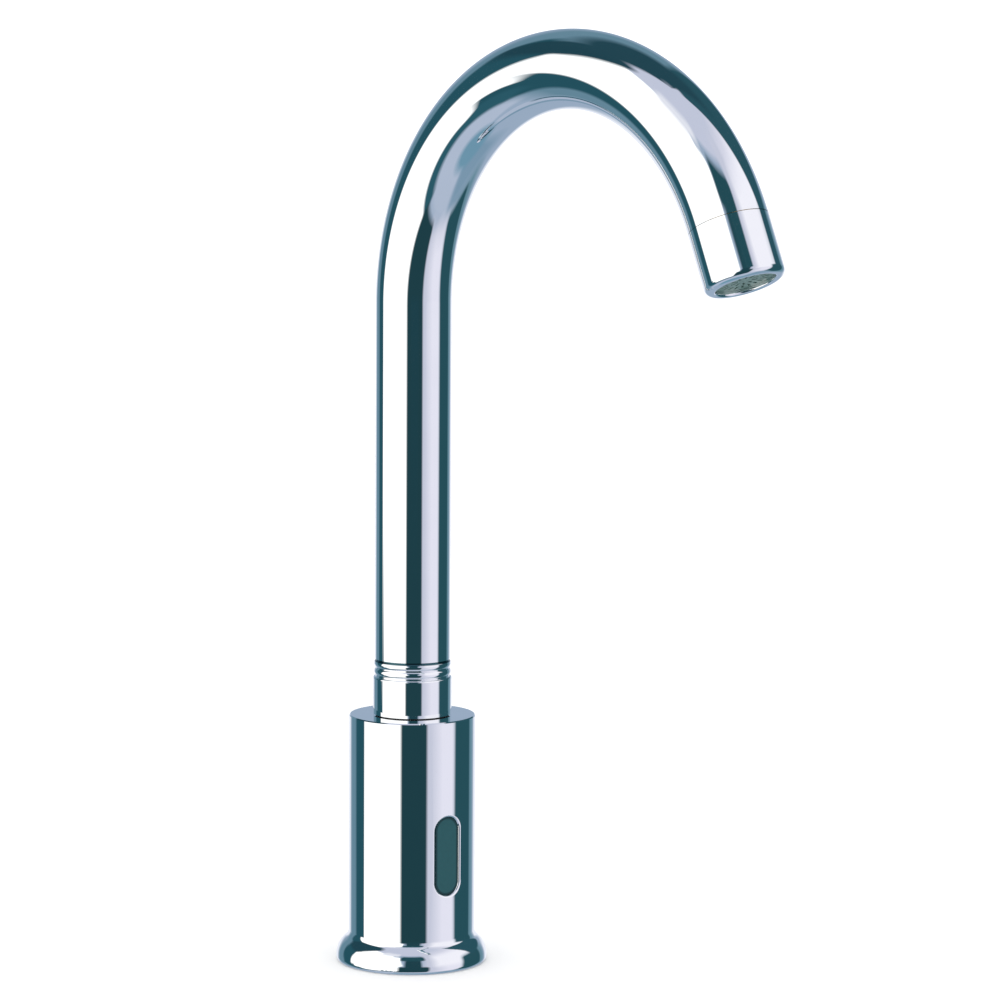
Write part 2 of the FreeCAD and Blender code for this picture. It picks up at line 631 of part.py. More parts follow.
# body shell, gasket and base
def make_body_shell():
    """Chromed brass body in one piece with its foot: swell, hollow and straight wall."""
    swell_centre = foot_radius - s.foot_curve
    reach = s.foot_curve + s.foot_blend
    step = s.body_radius + s.foot_blend - swell_centre
    climb = (reach * reach - step * step).root()
    joint_radius = swell_centre + s.foot_curve * step / reach
    joint_height = s.foot_lip + s.foot_curve * climb / reach
    groove_inner = gasket_radius - s.gasket_width / 2
    groove_outer = gasket_radius + s.gasket_width / 2
    recess = base_flange_radius + s.close_fit
    hole = socket_radius + s.close_fit
    body = turned("body_shell", [
        (hole, s.body_height),
        (hole, top_underside),
        (shell_bore, top_underside),
        (shell_bore, valve_face + s.close_fit),
        (circlip_groove, valve_face + s.close_fit),
        (circlip_groove, valve_face - s.circlip_thickness),
        (shell_bore, valve_face - s.circlip_thickness),
        (shell_bore, s.base_flange_thickness),
        (recess, s.base_flange_thickness),
        (recess, 0),
        (groove_inner, 0),
        (groove_inner, s.gasket_depth),
        (groove_outer, s.gasket_depth),
        (groove_outer, 0),
        (foot_radius - s.foot_lip, 0),
        (foot_radius, s.foot_lip, s.foot_lip),
        (joint_radius, joint_height, s.foot_curve),
        (s.body_radius, s.foot_lip + climb, -s.foot_blend),
        (s.body_radius, s.body_height - s.body_edge),
        (s.body_radius - s.body_edge, s.body_height),
    ])
    thread = drill_up(body, 0, base_screw_circle, s.base_screw_radius + s.running_fit,
                      s.base_flange_thickness, s.base_screw_depth - s.base_flange_thickness + s.close_fit)
    repeat(body, thread, s.base_screw_count)
    thread_start = shell_bore - s.sensor_screw_radius
    for side in (1, -1):
        height = window_height + sensor_screw_spread * side
        cut(body, "XZ_Plane", thread_start, s.sensor_screw_radius + s.sensor_screw_bite + s.close_fit,
            lambda sketch: draw_circle(sketch, 0, height, s.sensor_screw_radius + s.running_fit),
            along=True)
    window = cut(body, "XZ_Plane", 0, s.body_radius * 1.2,
                 lambda sketch: draw_stadium(sketch, s.window_width, window_length, window_height),
                 along=True)
    rounding = body.newObject("PartDesign::Fillet", "body_shell_window_rounding")
    rounding.Base = (window, window_mouth_edges(window.Shape))
    rounding.setExpression("Radius", s.window_rounding.text)
    settle(rounding, cuts=True)
    return body


def window_mouth_edges(shape):
    """The edges where the window meets the body's outside."""
    found = []
    half_width = s.window_width.number / 2 + 0.01
    for index, edge in enumerate(shape.Edges, start=1):
        box = edge.BoundBox
        inside = max(abs(box.XMin), abs(box.XMax)) <= half_width
        reach = abs(edge.CenterOfMass.y)
        near = abs(edge.CenterOfMass.z - window_height.number) < window_length.number / 2 + 0.01
        if inside and near and box.YMax < 0 and reach > (s.body_radius.number + shell_bore.number) / 2:
            found.append(f"Edge{index}")
    return found


def make_base_gasket():
    """Rubber ring in the foot's groove, pressed flush with the deck."""
    inner = gasket_radius - s.gasket_width / 2
    outer = gasket_radius + s.gasket_width / 2
    return turned("base_gasket", [(inner, 0), (outer, 0), (outer, s.gasket_depth),
                                  (inner, s.gasket_depth)])


def make_base_block():
    """Brass block that closes the body: inlet, gallery, riser hole, stud holes and cable hole."""
    plug_radius = shell_bore - s.close_fit
    body = turned("base_block", [
        (0, 0),
        (base_flange_radius, 0),
        (base_flange_radius, s.base_flange_thickness),
        (plug_radius, s.base_flange_thickness),
        (plug_radius, base_height),
        (0, base_height),
    ])
    zero = Size.of(0)
    drill_up(body, 0, 0, s.inlet_radius, zero, thread_top)
    drill_up(body, 0, 0, s.strainer_radius + s.running_fit, thread_top, riser_seat - thread_top)
    drill_up(body, 0, 0, s.inlet_chamber_radius, riser_seat,
             gallery_height + s.gallery_radius + s.close_fit - riser_seat)
    drill_up(body, 0, -s.gland_offset, s.gland_radius, zero, base_height)
    for side in (1, -1):
        drill_up(body, s.stud_spacing * side / 2, 0, s.stud_hole_radius, zero, base_height - s.stud_web)
    cut(body, "XZ_Plane", 0, shell_bore,
        lambda sketch: draw_circle(sketch, 0, gallery_height, s.gallery_radius))
    drill_up(body, 0, riser_offset, s.riser_radius + s.running_fit, riser_seat,
             base_height - riser_seat)
    drill_up(body, 0, riser_offset, riser_groove, base_ring_height - s.ring_section,
             s.ring_section * 2)
    hole = drill_up(body, 0, base_screw_circle, s.base_screw_radius + s.close_fit, zero,
                    s.base_flange_thickness)
    repeat(body, hole, s.base_screw_count)
    counterbore = drill_up(body, 0, base_screw_circle, s.screw_head_radius + s.close_fit, zero,
                           s.screw_head_height)
    repeat(body, counterbore, s.base_screw_count)
    return body


riser_groove = s.riser_radius + s.ring_section * 2 + s.running_fit * 2
valve_ring_height = valve_face + s.ring_margin + s.ring_section


def make_base_screws():
    """Cheese-head screws that hold the base block up into the body."""
    original = screw("base_screw", s.base_screw_radius, s.base_screw_depth - s.screw_head_height,
                     s.screw_head_radius, s.screw_head_height)
    places = []
    for index in range(int(s.base_screw_count.number)):
        angle = Size.of(90) + Size.of(360) / s.base_screw_count * index
        places.append((base_screw_circle * angle.cosine(), base_screw_circle * angle.sine(),
                       s.screw_head_height, 0))
    return copies("base_screws", original, places)


def make_gallery_plug():
    """Threaded plug that closes the drilled end of the gallery."""
    body = new_body("gallery_plug")
    outer = shell_bore - s.close_fit * 2
    pad(body, "XZ_Plane", -outer, s.plug_length,
        lambda sketch: draw_circle(sketch, 0, gallery_height, s.gallery_radius - s.running_fit))
    cut(body, "XZ_Plane", -outer, s.plug_socket_depth,
        lambda sketch: draw_circle(sketch, 0, gallery_height, s.plug_socket_radius), along=True)
    return keep(body, "gallery_plug")


def make_inlet_strainer():
    """Perforated disc above the inlet's thread, against the chamber's shoulder."""
    foot = riser_seat - s.strainer_thickness
    body = turned("inlet_strainer", [(0, foot), (s.strainer_radius, foot), (s.strainer_radius, riser_seat),
                                     (0, riser_seat)])
    drill_up(body, 0, 0, s.strainer_hole_radius, foot, s.strainer_thickness)
    hole = drill_up(body, 0, s.strainer_hole_circle, s.strainer_hole_radius, foot, s.strainer_thickness)
    repeat(body, hole, s.strainer_hole_count)
    return body


def make_cable_gland():
    """Rubber gland for the supply cable, its flange on the base block."""
    body = new_body("cable_gland")
    front = -s.gland_offset
    pad(body, "XY_Plane", s.gland_recess, base_height - s.gland_recess,
        lambda sketch: draw_circle(sketch, 0, front, s.gland_radius - s.running_fit))
    pad(body, "XY_Plane", base_height, s.gland_flange_thickness,
        lambda sketch: draw_circle(sketch, 0, front, s.gland_flange_radius))
    drill_up(body, 0, front, s.gland_bore, s.gland_recess,
             base_height - s.gland_recess + s.gland_flange_thickness)
    return keep(body, "cable_gland")


# waterway and valve
def make_riser_tube():
    """Pipe from the base block up to the valve body, behind the solenoid."""
    body = new_body("riser_tube")
    top = valve_face + s.riser_entry

    def draw(sketch):
        draw_circle(sketch, 0, riser_offset, s.riser_radius)
        draw_circle(sketch, 0, riser_offset, s.riser_bore)

    pad(body, "XY_Plane", riser_seat, top - riser_seat, draw)
    inlet = s.gallery_radius
    cut(body, "XZ_Plane", -riser_offset, s.riser_radius + s.running_fit,
        lambda sketch: draw_circle(sketch, 0, gallery_height, inlet), along=True)
    return keep(body, "riser_tube")


def make_riser_seals():
    """Rubber rings round both ends of the riser."""
    radius = s.riser_radius + s.ring_section + s.running_fit
    parts = [ring(f"riser_seal_{index}", radius, s.ring_section, height, riser_offset)
             for index, height in enumerate((base_ring_height, valve_ring_height), start=1)]
    return group("riser_seals", parts)


def make_valve_body():
    """Moulded valve body: ring chamber round the seat below, seat of the spout's socket above."""
    seat_face = valve_face + s.web_thickness / 2 + s.running_fit
    rim_top = valve_face + s.rim_thickness / 2
    socket_seat = socket_radius + s.close_fit
    body = turned("valve_body", [
        (s.outlet_radius, seat_face),
        (s.seat_radius, seat_face),
        (s.seat_radius, chamber_top),
        (s.chamber_radius, chamber_top),
        (s.chamber_radius, rim_top),
        (rim_outer, rim_top),
        (rim_outer, valve_face),
        (valve_radius, valve_face),
        (valve_radius, valve_top),
        (socket_seat, valve_top),
        (socket_seat, socket_foot),
        (s.clip_room_radius, socket_foot),
        (s.clip_room_radius, clip_floor),
        (s.outlet_radius, clip_floor),
    ])
    drill_up(body, 0, riser_offset, s.riser_bore, valve_face, s.riser_well)
    drill_up(body, 0, riser_offset, s.riser_radius + s.running_fit, valve_face,
             s.riser_entry + s.close_fit)
    drill_up(body, 0, riser_offset, riser_groove, valve_ring_height - s.ring_section,
             s.ring_section * 2)
    feed_height = valve_face + s.riser_entry + s.feed_radius
    inner = (s.seat_radius + s.chamber_radius) / 2
    cut(body, "XZ_Plane", -inner, riser_offset - inner,
        lambda sketch: draw_circle(sketch, 0, feed_height, s.feed_radius))
    angle = s.bonnet_screw_angle
    hole = drill_up(body, bonnet_screw_circle * angle.cosine(), bonnet_screw_circle * angle.sine(),
                    s.base_screw_radius + s.running_fit, valve_face, s.bonnet_screw_depth + s.close_fit)
    repeat(body, hole, s.bonnet_screw_count)
    return body


def make_valve_circlip():
    """Open steel ring in the bore's groove, which holds the valve body up against the socket."""
    outer = circlip_groove - s.close_fit
    inner = outer - s.circlip_width
    low = valve_face - s.circlip_thickness
    body = turned("valve_circlip", [(inner, low), (outer, low), (outer, valve_face), (inner, valve_face)])
    half = s.circlip_opening / 2
    cut(body, "XY_Plane", low, s.circlip_thickness, lambda sketch: draw_outline(
        sketch, [(-half, 0), (half, 0), (half, -outer * 1.2), (-half, -outer * 1.2)]), along=True)
    return body


def make_diaphragm_membrane():
    """Rubber diaphragm, its rim clamped between bonnet and valve body."""
    half_web = s.web_thickness / 2
    half_rim = s.rim_thickness / 2
    hole = s.insert_hub_radius + s.running_fit
    rim_inner = s.chamber_radius + s.running_fit
    rim_edge = rim_outer - s.running_fit
    return turned("diaphragm_membrane", [
        (hole, valve_face - half_web),
        (rim_inner, valve_face - half_web),
        (rim_inner, valve_face - half_rim),
        (rim_edge, valve_face - half_rim),
        (rim_edge, valve_face + half_rim),
        (rim_inner, valve_face + half_rim),
        (rim_inner, valve_face + half_web),
        (hole, valve_face + half_web),
    ])


def make_diaphragm_insert():
    """Hard centre of the diaphragm, with the pilot hole that the plunger closes."""
    low, high = valve_face - s.web_thickness / 2, valve_face + s.web_thickness / 2
    cap_top = high + s.insert_cap_thickness
    return turned("diaphragm_insert", [
        (s.pilot_radius, insert_foot),
        (s.insert_disc_radius, insert_foot),
        (s.insert_disc_radius, low),
        (s.insert_hub_radius, low),
        (s.insert_hub_radius, high),
        (s.insert_cap_radius, high),
        (s.insert_cap_radius, cap_top),
        (s.pilot_radius, cap_top),
    ])


def make_valve_bonnet():
    """Cover under the valve body: pressure chamber, core tube seat and notch for the riser."""
    rim_foot = valve_face - s.rim_thickness / 2
    flange_seat = s.core_flange_radius + s.close_fit
    core_hole = s.core_bore + s.core_wall + s.close_fit
    body = turned("valve_bonnet", [
        (core_hole, bonnet_foot),
        (bonnet_radius, bonnet_foot),
        (bonnet_radius, valve_face),
        (rim_outer, valve_face),
        (rim_outer, rim_foot),
        (s.chamber_radius, rim_foot),
        (s.chamber_radius, core_top),
        (flange_seat, core_top),
        (flange_seat, core_top - s.core_flange_thickness),
        (core_hole, core_top - s.core_flange_thickness),
    ])
    drill_up(body, 0, riser_offset, s.riser_radius + s.close_fit * 3, bonnet_foot, s.bonnet_thickness)
    angle = s.bonnet_screw_angle
    hole = drill_up(body, bonnet_screw_circle * angle.cosine(), bonnet_screw_circle * angle.sine(),
                    s.base_screw_radius + s.close_fit, bonnet_foot, s.bonnet_thickness)
    repeat(body, hole, s.bonnet_screw_count)
    return body


def make_bonnet_screws():
    """Cheese-head screws that clamp the bonnet, the diaphragm and the valve body."""
    original = screw("bonnet_screw", s.base_screw_radius, s.bonnet_thickness + s.bonnet_screw_depth,
                     s.screw_head_radius, s.screw_head_height)
    places = []
    for index in range(int(s.bonnet_screw_count.number)):
        angle = s.bonnet_screw_angle + Size.of(360) / s.bonnet_screw_count * index
        places.append((bonnet_screw_circle * angle.cosine(), bonnet_screw_circle * angle.sine(),
                       bonnet_foot, 0))
    return copies("bonnet_screws", original, places)


# solenoid
def make_core_tube():
    """Closed steel tube that the plunger slides in, hung from the bonnet by its flange."""
    outer = s.core_bore + s.core_wall
    flange_foot_height = core_top - s.core_flange_thickness
    return turned("core_tube", [
        (0, core_foot),
        (outer, core_foot),
        (outer, flange_foot_height),
        (s.core_flange_radius, flange_foot_height),
        (s.core_flange_radius, core_top),
        (s.core_bore, core_top),
        (s.core_bore, core_foot + s.core_floor),
        (0, core_foot + s.core_floor),
    ])


def make_plunger():
    """Steel plunger with a pocket for its rubber tip above and for its spring below."""
    radius = s.core_bore - s.running_fit
    return turned("plunger", [
        (s.spring_pocket_radius, plunger_foot),
        (radius, plunger_foot),
        (radius, plunger_top),
        (s.plunger_tip_radius, plunger_top),
        (s.plunger_tip_radius, plunger_top - s.plunger_tip_depth),
        (0, plunger_top - s.plunger_tip_depth),
        (0, plunger_foot + s.spring_pocket_depth),
        (s.spring_pocket_radius, plunger_foot + s.spring_pocket_depth),
    ])


def make_plunger_tip():
    """Rubber tip that shuts the pilot hole."""
    low = plunger_top - s.plunger_tip_depth
    high = plunger_top + s.plunger_tip_proud
    return turned("plunger_tip", [(0, low), (s.plunger_tip_radius, low), (s.plunger_tip_radius, high),
                                  (0, high)])


def turn_arcs(start, start_way, end, end_way):
    """Two arcs that join two points of a helix and leave and meet them along it."""
    gap = end - start
    ways = start_way + end_way
    square = 2 * (1 - start_way.dot(end_way))
    slope = gap.dot(ways)
    reach = (math.sqrt(slope * slope + square * gap.dot(gap)) - slope) / square
    first_knee = start + start_way * reach
    last_knee = end - end_way * reach
    middle = (first_knee + last_knee) * 0.5
    return [arc_round(start, first_knee, middle), arc_round(middle, last_knee, end)]


def arc_round(start, knee, end):
    """The arc from start to end whose tangents meet at knee."""
    back, ahead = start - knee, end - knee
    half = back.getAngle(ahead) / 2
    inward = (back + ahead).normalize()
    centre = knee + inward * (back.Length / math.cos(half))
    radius = back.Length * math.tan(half)
    return Part.Arc(start, centre - inward * radius, end).toShape()


def make_plunger_spring():
    """Compression spring under the plunger, one unbroken wire wound as a helix."""
    wire = s.spring_wire.number
    radius = s.spring_radius.number
    low = (core_foot + s.core_floor + s.running_fit).number + wire
    high = (plunger_foot + s.spring_pocket_depth - s.running_fit).number - wire
    quarters = int(s.spring_turns.number) * 4
    climb = (high - low) / quarters
    tilt = math.hypot(radius * math.pi / 2, climb)
    points, ways = [], []
    for index in range(quarters + 1):
        angle = index * math.pi / 2
        points.append(Vector(radius * math.cos(angle), radius * math.sin(angle), low + climb * index))
        ways.append(Vector(-math.sin(angle) * radius * math.pi / 2 / tilt,
                           math.cos(angle) * radius * math.pi / 2 / tilt, climb / tilt))
    edges = []
    for index in range(quarters):
        edges += turn_arcs(points[index], ways[index], points[index + 1], ways[index + 1])
    path = Part.Wire(edges)
    section = Part.Wire([Part.Circle(points[0], ways[0], wire).toShape()])
    spring = doc.addObject("Part::Feature", "plunger_spring")
    spring.Shape = path.makePipeShell([section], True, False)
    print(f"plunger spring: {path.Length:.1f} mm of wire, {climb * 4 - 2 * wire:.2f} mm between turns")
    return keep(spring, "plunger_spring")


def make_solenoid_bobbin():
    """Moulded bobbin round the core tube."""
    bore = s.core_bore + s.core_wall + s.close_fit
    barrel = bore + s.bobbin_wall
    rim = can_radius - s.can_wall - s.close_fit
    low = can_foot + s.can_wall
    high = bonnet_foot
    return turned("solenoid_bobbin", [
        (bore, low),
        (rim, low),
        (rim, low + s.bobbin_flange),
        (barrel, low + s.bobbin_flange),
        (barrel, high - s.bobbin_flange),
        (rim, high - s.bobbin_flange),
        (rim, high),
        (bore, high),
    ])


def make_coil_winding():
    """Copper winding between the bobbin's flanges."""
    barrel = s.core_bore + s.core_wall + s.close_fit + s.bobbin_wall
    rim = can_radius - s.can_wall - s.close_fit - s.winding_margin
    low = can_foot + s.can_wall + s.bobbin_flange
    high = bonnet_foot - s.bobbin_flange
    return turned("coil_winding", [(barrel, low), (rim, low), (rim, high), (barrel, high)])


def make_coil_can():
    """Steel can that closes the magnet's path round the coil."""
    inner = can_radius - s.can_wall
    hole = s.core_bore + s.core_wall + s.close_fit
    return turned("coil_can", [
        (hole, can_foot),
        (can_radius, can_foot),
        (can_radius, bonnet_foot),
        (inner, bonnet_foot),
        (inner, can_foot + s.can_wall),
        (hole, can_foot + s.can_wall),
    ])


def make_coil_nut():
    """Hexagon nut on the core tube's end, which holds the can up."""
    body = new_body("coil_nut")
    corner = s.coil_nut_radius
    half = corner / 2
    flat = corner * Size.of(60).sine()
    foot = can_foot - s.coil_nut_thickness
    bore = s.core_bore + s.core_wall + s.running_fit

    def draw(sketch):
        draw_outline(sketch, [(corner, 0), (half, flat), (-half, flat), (-corner, 0), (-half, -flat),
                              (half, -flat)])
        draw_circle(sketch, 0, 0, bore)

    pad(body, "XY_Plane", foot, s.coil_nut_thickness, draw)
    return keep(body, "coil_nut")


def make_solenoid_leads():
    """Two leads that drop from the coil, turn under the sensor and rise into it."""
    top = can_foot.number
    sensor_foot = (window_height - capsule_length / 2).number
    near, far = -lead_coil_offset.number, -lead_sensor_offset.number
    low = sensor_foot - s.lead_drop.number
    bend = abs(far - near) / 2
    parts = []
    for side in (-1, 1):
        x = side * s.lead_spacing.number / 2
        start = Vector(x, near, top)
        knee = Vector(x, near, low)
        bottom = Vector(x, (near + far) / 2, low - bend)
        rise = Vector(x, far, low)
        end = Vector(x, far, sensor_foot)
        path = Part.Wire([Part.LineSegment(start, knee).toShape(),
                          Part.Arc(knee, bottom, rise).toShape(),
                          Part.LineSegment(rise, end).toShape()])
        section = Part.Wire([Part.Circle(start, Vector(0, 0, -1), s.lead_radius.number).toShape()])
        parts.append(path.makePipeShell([section], True, False))
    leads = doc.addObject("Part::Feature", "solenoid_leads")
    leads.Shape = Part.makeCompound(parts)
    print(f"solenoid leads: bend radius {bend:.2f} mm, {path.Length:.1f} mm each")
    return keep(leads, "solenoid_leads")


# sensor
def make_sensor_lens():
    """Dark infrared-clear lens in the window."""
    body = new_body("sensor_lens")
    pad(body, "XZ_Plane", lens_back, s.lens_thickness, lambda sketch: draw_stadium(
        sketch, s.window_width - s.close_fit * 2, window_length - s.close_fit * 2, window_height))
    return keep(body, "sensor_lens")


def make_window_seal():
    """Rubber ring round the capsule that seals the window."""
    body = new_body("window_seal")
    inset = (s.close_fit + s.seal_depth) * 2

    def draw(sketch):
        draw_stadium(sketch, s.window_width, window_length, window_height)
        draw_stadium(sketch, s.window_width - inset, window_length - inset, window_height)

    pad(body, "XZ_Plane", lens_back - s.seal_land - s.seal_thickness, s.seal_thickness, draw)
    return keep(body, "window_seal")


def make_sensor_capsule():
    """Moulded capsule that carries the lens, the eyes and the board inside the window."""
    body = new_body("sensor_capsule")
    width = s.window_width - s.close_fit * 2
    length = window_length - s.close_fit * 2
    seal_front = lens_back - s.seal_land
    seal_back = seal_front - s.seal_thickness
    middle = window_height
    half = window_length / 2 + s.capsule_ear
    pad(body, "XZ_Plane", flange_back, s.capsule_flange_thickness,
        lambda sketch: draw_outline(
            sketch, rectangle(s.capsule_flange_width, middle - half, middle + half)))
    pad(body, "XZ_Plane", flange_front, seal_back - flange_front,
        lambda sketch: draw_stadium(sketch, width, length, middle))
    pad(body, "XZ_Plane", seal_back, s.seal_thickness,
        lambda sketch: draw_stadium(sketch, width - s.seal_depth * 2, length - s.seal_depth * 2, middle))
    pad(body, "XZ_Plane", seal_front, s.seal_land,
        lambda sketch: draw_stadium(sketch, width, length, middle))
    half = capsule_length / 2
    pad(body, "XZ_Plane", cover_front, flange_back - cover_front,
        lambda sketch: draw_outline(sketch, rectangle(s.capsule_width, middle - half, middle + half)))
    inside = half - s.capsule_wall
    cavity_front = lens_back - s.capsule_face
    cut(body, "XZ_Plane", cover_front, cavity_front - cover_front,
        lambda sketch: draw_outline(sketch, rectangle(s.capsule_width - s.capsule_wall * 2,
                                                      middle - inside, middle + inside)), along=True)
    for side in (1, -1):
        height = middle + s.eye_spread * side
        cut(body, "XZ_Plane", cavity_front, s.capsule_face,
            lambda sketch: draw_circle(sketch, 0, height, s.eye_radius + s.close_fit), along=True)
        height = middle + sensor_screw_spread * side
        cut(body, "XZ_Plane", flange_back, s.capsule_flange_thickness,
            lambda sketch: draw_circle(sketch, 0, height, s.sensor_screw_radius + s.close_fit), along=True)
    return keep(body, "sensor_capsule")


def make_sensor_cover():
    """Back cover of the capsule."""
    body = new_body("sensor_cover")
    half = capsule_length / 2
    pad(body, "XZ_Plane", cover_back, s.cover_thickness, lambda sketch: draw_outline(
        sketch, rectangle(s.capsule_width, window_height - half, window_height + half)))
    return keep(body, "sensor_cover")


def make_sensor_board():
    """Circuit board on the inside of the cover."""
    body = new_body("sensor_board")
    half = capsule_length / 2 - s.capsule_wall - s.close_fit
    width = s.capsule_width - (s.capsule_wall + s.close_fit) * 2
    pad(body, "XZ_Plane", cover_front, s.board_thickness, lambda sketch: draw_outline(
        sketch, rectangle(width, window_height - half, window_height + half)))
    return keep(body, "sensor_board")


def make_control_chip():
    """Controller on the board, between the emitter and the receiver."""
    box = doc.addObject("Part::Box", "control_chip")
    box.setExpression("Length", s.chip_width.text)
    box.setExpression("Width", s.chip_thickness.text)
    box.setExpression("Height", s.chip_length.text)
    box.setExpression("Placement.Base.x", (-(s.chip_width / 2)).text)
    box.setExpression("Placement.Base.y", (-(board_front + s.chip_thickness)).text)
    box.setExpression("Placement.Base.z", (window_height - s.chip_length / 2).text)
    return keep(box, "control_chip")


def make_eye(name, side):
    """Domed infrared diode on the board, looking out through the lens."""
    length = lens_back - s.eye_gap - board_front
    body = new_body(name)
    turn(body, [
        (0, 0),
        (s.eye_base_radius, 0),
        (s.eye_base_radius, s.eye_base_thickness),
        (s.eye_radius, s.eye_base_thickness),
        (s.eye_radius, length - s.eye_radius),
        (0, length, s.eye_radius),
    ])
    body.Placement = Placement(Vector(0, 0, 0), Rotation(Vector(1, 0, 0), 90))
    body.setExpression("Placement.Base.y", (-board_front).text)
    body.setExpression("Placement.Base.z", (window_height + s.eye_spread * side).text)
    return keep(body, name)


def make_sensor_screws():
    """Two screws through the capsule's ears into the body's wall."""
    length = shell_bore + s.sensor_screw_bite - flange_back
    original = screw("sensor_screw", s.sensor_screw_radius, length, s.sensor_screw_head,
                     s.sensor_screw_head_height)
    places = [(0, -flange_back, window_height + sensor_screw_spread * side, 90) for side in (1, -1)]
    return copies("sensor_screws", original, places)


# swivel joint
def make_spout_socket():
    """Brass socket that the spout turns in, held between the body's top and the valve body."""
    bore = s.spigot_radius + s.running_fit
    groove_height = (valve_top + socket_foot) / 2
    groove_radius = socket_radius - s.ring_section * 2 + s.close_fit
    half = s.ring_section
    return turned("spout_socket", [
        (bore, socket_foot),
        (socket_radius, socket_foot),
        (socket_radius, groove_height - half),
        (groove_radius, groove_height - half),
        (groove_radius, groove_height + half),
        (socket_radius, groove_height + half),
        (socket_radius, valve_top),
        (s.socket_flange_radius, valve_top),
        (s.socket_flange_radius, top_underside),
        (socket_radius, top_underside),
        (socket_radius, s.body_height),
        (bore, s.body_height),
    ])


def make_socket_seal():
    """Rubber ring between the socket and the valve body."""
    radius = socket_radius - s.ring_section + s.close_fit
    seal = ring("socket_seal", radius, s.ring_section, (valve_top + socket_foot) / 2)
    return keep(seal, "socket_seal")


def make_thrust_washer():
    """Slippery washer that the spout turns on."""
    inner = s.spigot_radius + s.close_fit
    outer = socket_radius
    return turned("thrust_washer", [(inner, s.body_height), (outer, s.body_height),
                                    (outer, washer_top), (inner, washer_top)])


def swivel_ring_heights():
    upper = s.body_height - s.swivel_ring_upper
    return upper, upper - s.swivel_ring_pitch


def make_spout_spigot():
    """Brass spigot of the spout: turns in the socket below, holds collar and tube above."""
    groove_radius = s.spigot_radius - s.swivel_ring_section * 2
    half = s.swivel_ring_section + s.ring_groove_margin / 2
    upper, lower = swivel_ring_heights()
    foot = socket_foot - s.spigot_tail
    clip_top = socket_foot - s.swivel_play
    clip_foot = clip_top - s.clip_thickness
    clip_groove = s.spigot_radius - s.clip_depth
    top = flange_top + s.spigot_insert_length
    wide_bore = insert_radius - s.spigot_insert_wall
    return turned("spout_spigot", [
        (s.spigot_bore, foot),
        (s.spigot_radius, foot),
        (s.spigot_radius, clip_foot),
        (clip_groove, clip_foot),
        (clip_groove, clip_top),
        (s.spigot_radius, clip_top),
        (s.spigot_radius, lower - half),
        (groove_radius, lower - half),
        (groove_radius, lower + half),
        (s.spigot_radius, lower + half),
        (s.spigot_radius, upper - half),
        (groove_radius, upper - half),
        (groove_radius, upper + half),
        (s.spigot_radius, upper + half),
        (s.spigot_radius, flange_foot),
        (socket_radius, flange_foot),
        (socket_radius, flange_top),
        (insert_radius, flange_top),
        (insert_radius, top),
        (wide_bore, top),
        (wide_bore, flange_top + s.spigot_web),
        (s.spigot_bore, flange_top + s.spigot_web),
    ])


def make_spigot_rings():
    """Two rubber rings that seal the turning spigot."""
    radius = s.spigot_radius - s.swivel_ring_section
    parts = [ring(f"spigot_ring_{index}", radius, s.swivel_ring_section, height)
             for index, height in enumerate(swivel_ring_heights(), start=1)]
    return group("spigot_rings", parts)


def make_retaining_clip():
    """Open steel clip that keeps the spigot in its socket."""
    top = socket_foot - s.swivel_play
    inner = s.spigot_radius - s.clip_depth + s.running_fit
    foot = top - s.clip_thickness
    body = turned("retaining_clip", [(inner, foot), (s.clip_radius, foot), (s.clip_radius, top),
                                     (inner, top)])
    half = s.clip_opening / 2
    cut(body, "XY_Plane", foot, s.clip_thickness, lambda sketch: draw_outline(
        sketch, [(-half, 0), (half, 0), (half, s.clip_radius * 1.2), (-half, s.clip_radius * 1.2)]),
        along=True)
    return swing(body)


# collar and spout
def make_spout_collar():
    """Chromed collar at the spout's foot, with two beads under the tube."""
    recess_top = flange_top + s.close_fit
    recess = socket_radius + s.close_fit
    groove = bead_groove_radius
    second_bead = bead_start + s.bead_length + s.bead_spacing
    return turned("spout_collar", [
        (recess, collar_foot),
        (collar_radius, collar_foot),
        (collar_radius, collar_foot + s.collar_length - collar_shoulder),
        (groove, collar_foot + s.collar_length, collar_shoulder),
        (groove, bead_start),
        (groove, bead_start + s.bead_length, s.bead_curve),
        (groove, second_bead),
        (groove, second_bead + s.bead_length, s.bead_curve),
        (groove, collar_top),
        (tube_bore, collar_top),
        (tube_bore, recess_top),
        (recess, recess_top),
    ])


